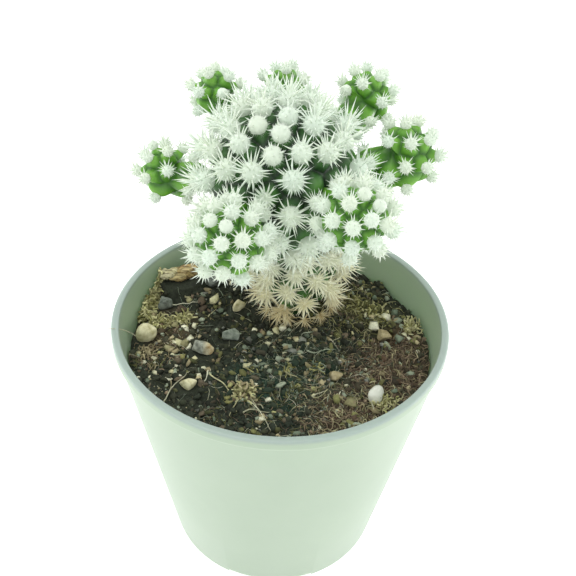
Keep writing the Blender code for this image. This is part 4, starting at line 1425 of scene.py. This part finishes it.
def stoneMesh(name, seed, sides, sharpness):
    # A rounded stone with a flat underside, on its CAD solid's place
    (x, y), size, turn = stoneForms[name]
    rng = random.Random(seed)
    shift = Vector((seed * 3.7, 0, 0))
    level = groundHeight(x * mm, y * mm)
    bm = bmesh.new()
    bmesh.ops.create_icosphere(bm, subdivisions=5, radius=1)
    faceted(bm, sides, sharpness, rng)
    for vert in bm.verts:
        vert.co *= 1 + 0.04 * noise.noise(vert.co * 3 + shift)
        vert.co *= 1 + 0.02 * noise.noise(vert.co * 9 + shift)
        vert.co.z = max(vert.co.z, -0.5) + 0.5
    lengths = [max(abs(vert.co[axis]) for vert in bm.verts) for axis in range(3)]
    scale = Vector((size[0] / 2 / lengths[0], size[1] / 2 / lengths[1], size[2] / lengths[2])) * mm
    bmesh.ops.scale(bm, vec=scale, verts=bm.verts)
    bmesh.ops.rotate(bm, cent=(0, 0, 0), matrix=Matrix.Rotation(radians(turn), 3, "Z"),
                     verts=bm.verts)
    bmesh.ops.translate(bm, vec=(x * mm, y * mm, level + 0.15 * mm), verts=bm.verts)
    bmesh.ops.recalc_face_normals(bm, faces=bm.faces)
    return meshFromBmesh(name + "Stone", bm)


def makeStoneLook(name, dark, light, scale, roughness):
    material, tree, shader = newMaterial(name)
    tone = blotchNode(tree, dark, light, scale, 0.35, 0.62)
    tree.links.new(tone.outputs["Color"], shader.inputs["Base Color"])
    relief = grainNode(tree, 3500, 0.7, 0.12 * mm)
    tree.links.new(relief.outputs["Normal"], shader.inputs["Normal"])
    shader.inputs["Roughness"].default_value = roughness
    return material


def makeTwoToneStone():
    # Grey grit with a rusty yellow side
    material, tree, shader = newMaterial("stoneTwoTone")
    place = addNode(tree, "ShaderNodeTexCoord")
    middle = addNode(tree, "ShaderNodeMapping", {"Vector": place.outputs["Object"]})
    middle.inputs["Location"].default_value = (12.4 * mm, 3.9 * mm, 0)
    parts = addNode(tree, "ShaderNodeSeparateXYZ", {"Vector": middle.outputs["Vector"]})
    side = addNode(tree, "ShaderNodeMapRange", {"Value": parts.outputs["X"],
                                                "From Min": -0.3 * mm, "From Max": 0.9 * mm})
    grey = blotchNode(tree, (0.14, 0.15, 0.12), (0.45, 0.47, 0.39), 1300, 0.35, 0.65)
    rust = blotchNode(tree, (0.42, 0.27, 0.10), (0.76, 0.68, 0.44), 1100, 0.3, 0.6)
    full = mixNode(tree, side.outputs["Result"], grey.outputs["Color"], rust.outputs["Color"])
    tree.links.new(full, shader.inputs["Base Color"])
    relief = grainNode(tree, 3500, 0.7, 0.15 * mm)
    tree.links.new(relief.outputs["Normal"], shader.inputs["Normal"])
    shader.inputs["Roughness"].default_value = 0.8
    return material


def makeStones():
    grey = makeStoneLook("stoneGrey", (0.095, 0.11, 0.095), (0.25, 0.28, 0.24), 1200, 0.85)
    green = makeStoneLook("stoneGreenGrey", (0.13, 0.16, 0.13), (0.34, 0.38, 0.32), 1200, 0.8)
    cream = makeStoneLook("stoneCream", (0.46, 0.42, 0.22), (0.78, 0.74, 0.50), 900, 0.8)
    white = makeStoneLook("stoneWhite", (0.68, 0.69, 0.60), (0.80, 0.81, 0.73), 500, 0.7)
    tan = makeStoneLook("stoneTan", (0.30, 0.24, 0.12), (0.58, 0.50, 0.30), 900, 0.85)
    looks = {
        "pebble_white": (white, 12, 3, "stone_white"),
        "stone_two_tone": (makeTwoToneStone(), 12, 16, "stone_grey"),
        "stone_green_grey": (green, 9, 12, "stone_grey"),
        "pebble_cream_left": (cream, 10, 6, "stone_white"),
        "stone_grey_left": (grey, 9, 14, "stone_grey"),
        "stone_grey_back": (grey, 8, 16, "stone_grey"),
        "chip_cream_soft": (cream, 8, 8, "stone_white"),
        "stone_tan_right": (tan, 8, 16, "stone_tan"),
        "chip_tan_front": (tan, 9, 7, "stone_tan"),
        "lump_tan": (cream, 12, 4, "stone_tan"),
    }
    for index, (name, (material, sides, sharpness, slotName)) in enumerate(looks.items()):
        mesh = stoneMesh(name, index + 1, sides, sharpness)
        addPiece(name + "_fine", mesh, material, slotName, [name])


# Splinters of the bark chip: shift along and across it, height, length, radius, turn in degrees,
# colour
splinters = [
    (0.6, -0.9, 0.5, 5.2, 0.75, 4, (0.42, 0.31, 0.13)),
    (0.9, 0.0, 0.8, 5.4, 0.85, -2, (0.60, 0.46, 0.20)),
    (0.4, 0.95, 0.5, 5.6, 0.75, 2, (0.36, 0.26, 0.11)),
    (1.4, -0.4, 1.15, 3.6, 0.6, -5, (0.72, 0.58, 0.30)),
    (1.5, 0.55, 1.1, 3.4, 0.55, 5, (0.50, 0.36, 0.16)),
    (-1.9, 0.3, 1.15, 3.2, 0.9, 10, (0.68, 0.62, 0.36)),
    (-2.7, -0.2, 1.2, 2.6, 0.75, -14, (0.76, 0.71, 0.46)),
    (-1.4, 0.9, 0.9, 3.0, 0.6, 14, (0.62, 0.54, 0.28)),
    (-1.0, -0.8, 0.7, 3.6, 0.6, -6, (0.56, 0.46, 0.23)),
    (-3.0, 0.7, 1.5, 1.8, 0.6, 24, (0.70, 0.65, 0.40)),
]


def makeChip(material):
    rng = random.Random(6)
    x, y = chipForm["place"]
    level = groundHeight(x * mm, y * mm) + 0.15 * mm
    corners, faces = rodTemplate(12, 23, 1)
    turn = Matrix.Rotation(radians(chipForm["turn"]), 3, "Z")
    places, colours = [], []
    for along, across, height, length, radius, lean, colour in splinters:
        spin = Matrix.Rotation(radians(lean), 3, "Z")
        piece = []
        for corner in corners:
            share = 2 * corner[2] - 1
            thin = (1 - abs(share) ** 3.5) ** 0.6
            angle = atan2(corner[1], corner[0])
            ridge = noise.noise(Vector((cos(angle) * 2.2, sin(angle) * 2.2, share * 0.6 + along)))
            ragged = noise.noise(Vector((cos(angle) * 5, sin(angle) * 5, share * 4 + across)))
            reach = radius * thin * (1 + 0.5 * ridge + 0.25 * ragged)
            width, rise = corner[0] * reach, corner[1] * reach * 0.8
            co = spin @ Vector((share * length / 2, width, 0)) + Vector((along, across, height))
            piece.append(turn @ (co + Vector((0, 0, rise))) * mm + Vector((x * mm, y * mm, level)))
        places.append(piece)
        colours.append(mixColours(colour, (0, 0, 0), rng.uniform(0, 0.15)))
    mesh = copiesMesh("barkChip", np.array(places), faces, colour=colours)
    addPiece("barkChip", mesh, material, "bark", ["chip_bark"])


makeStones()
makeChip(makeBark())
print("stones are laid")
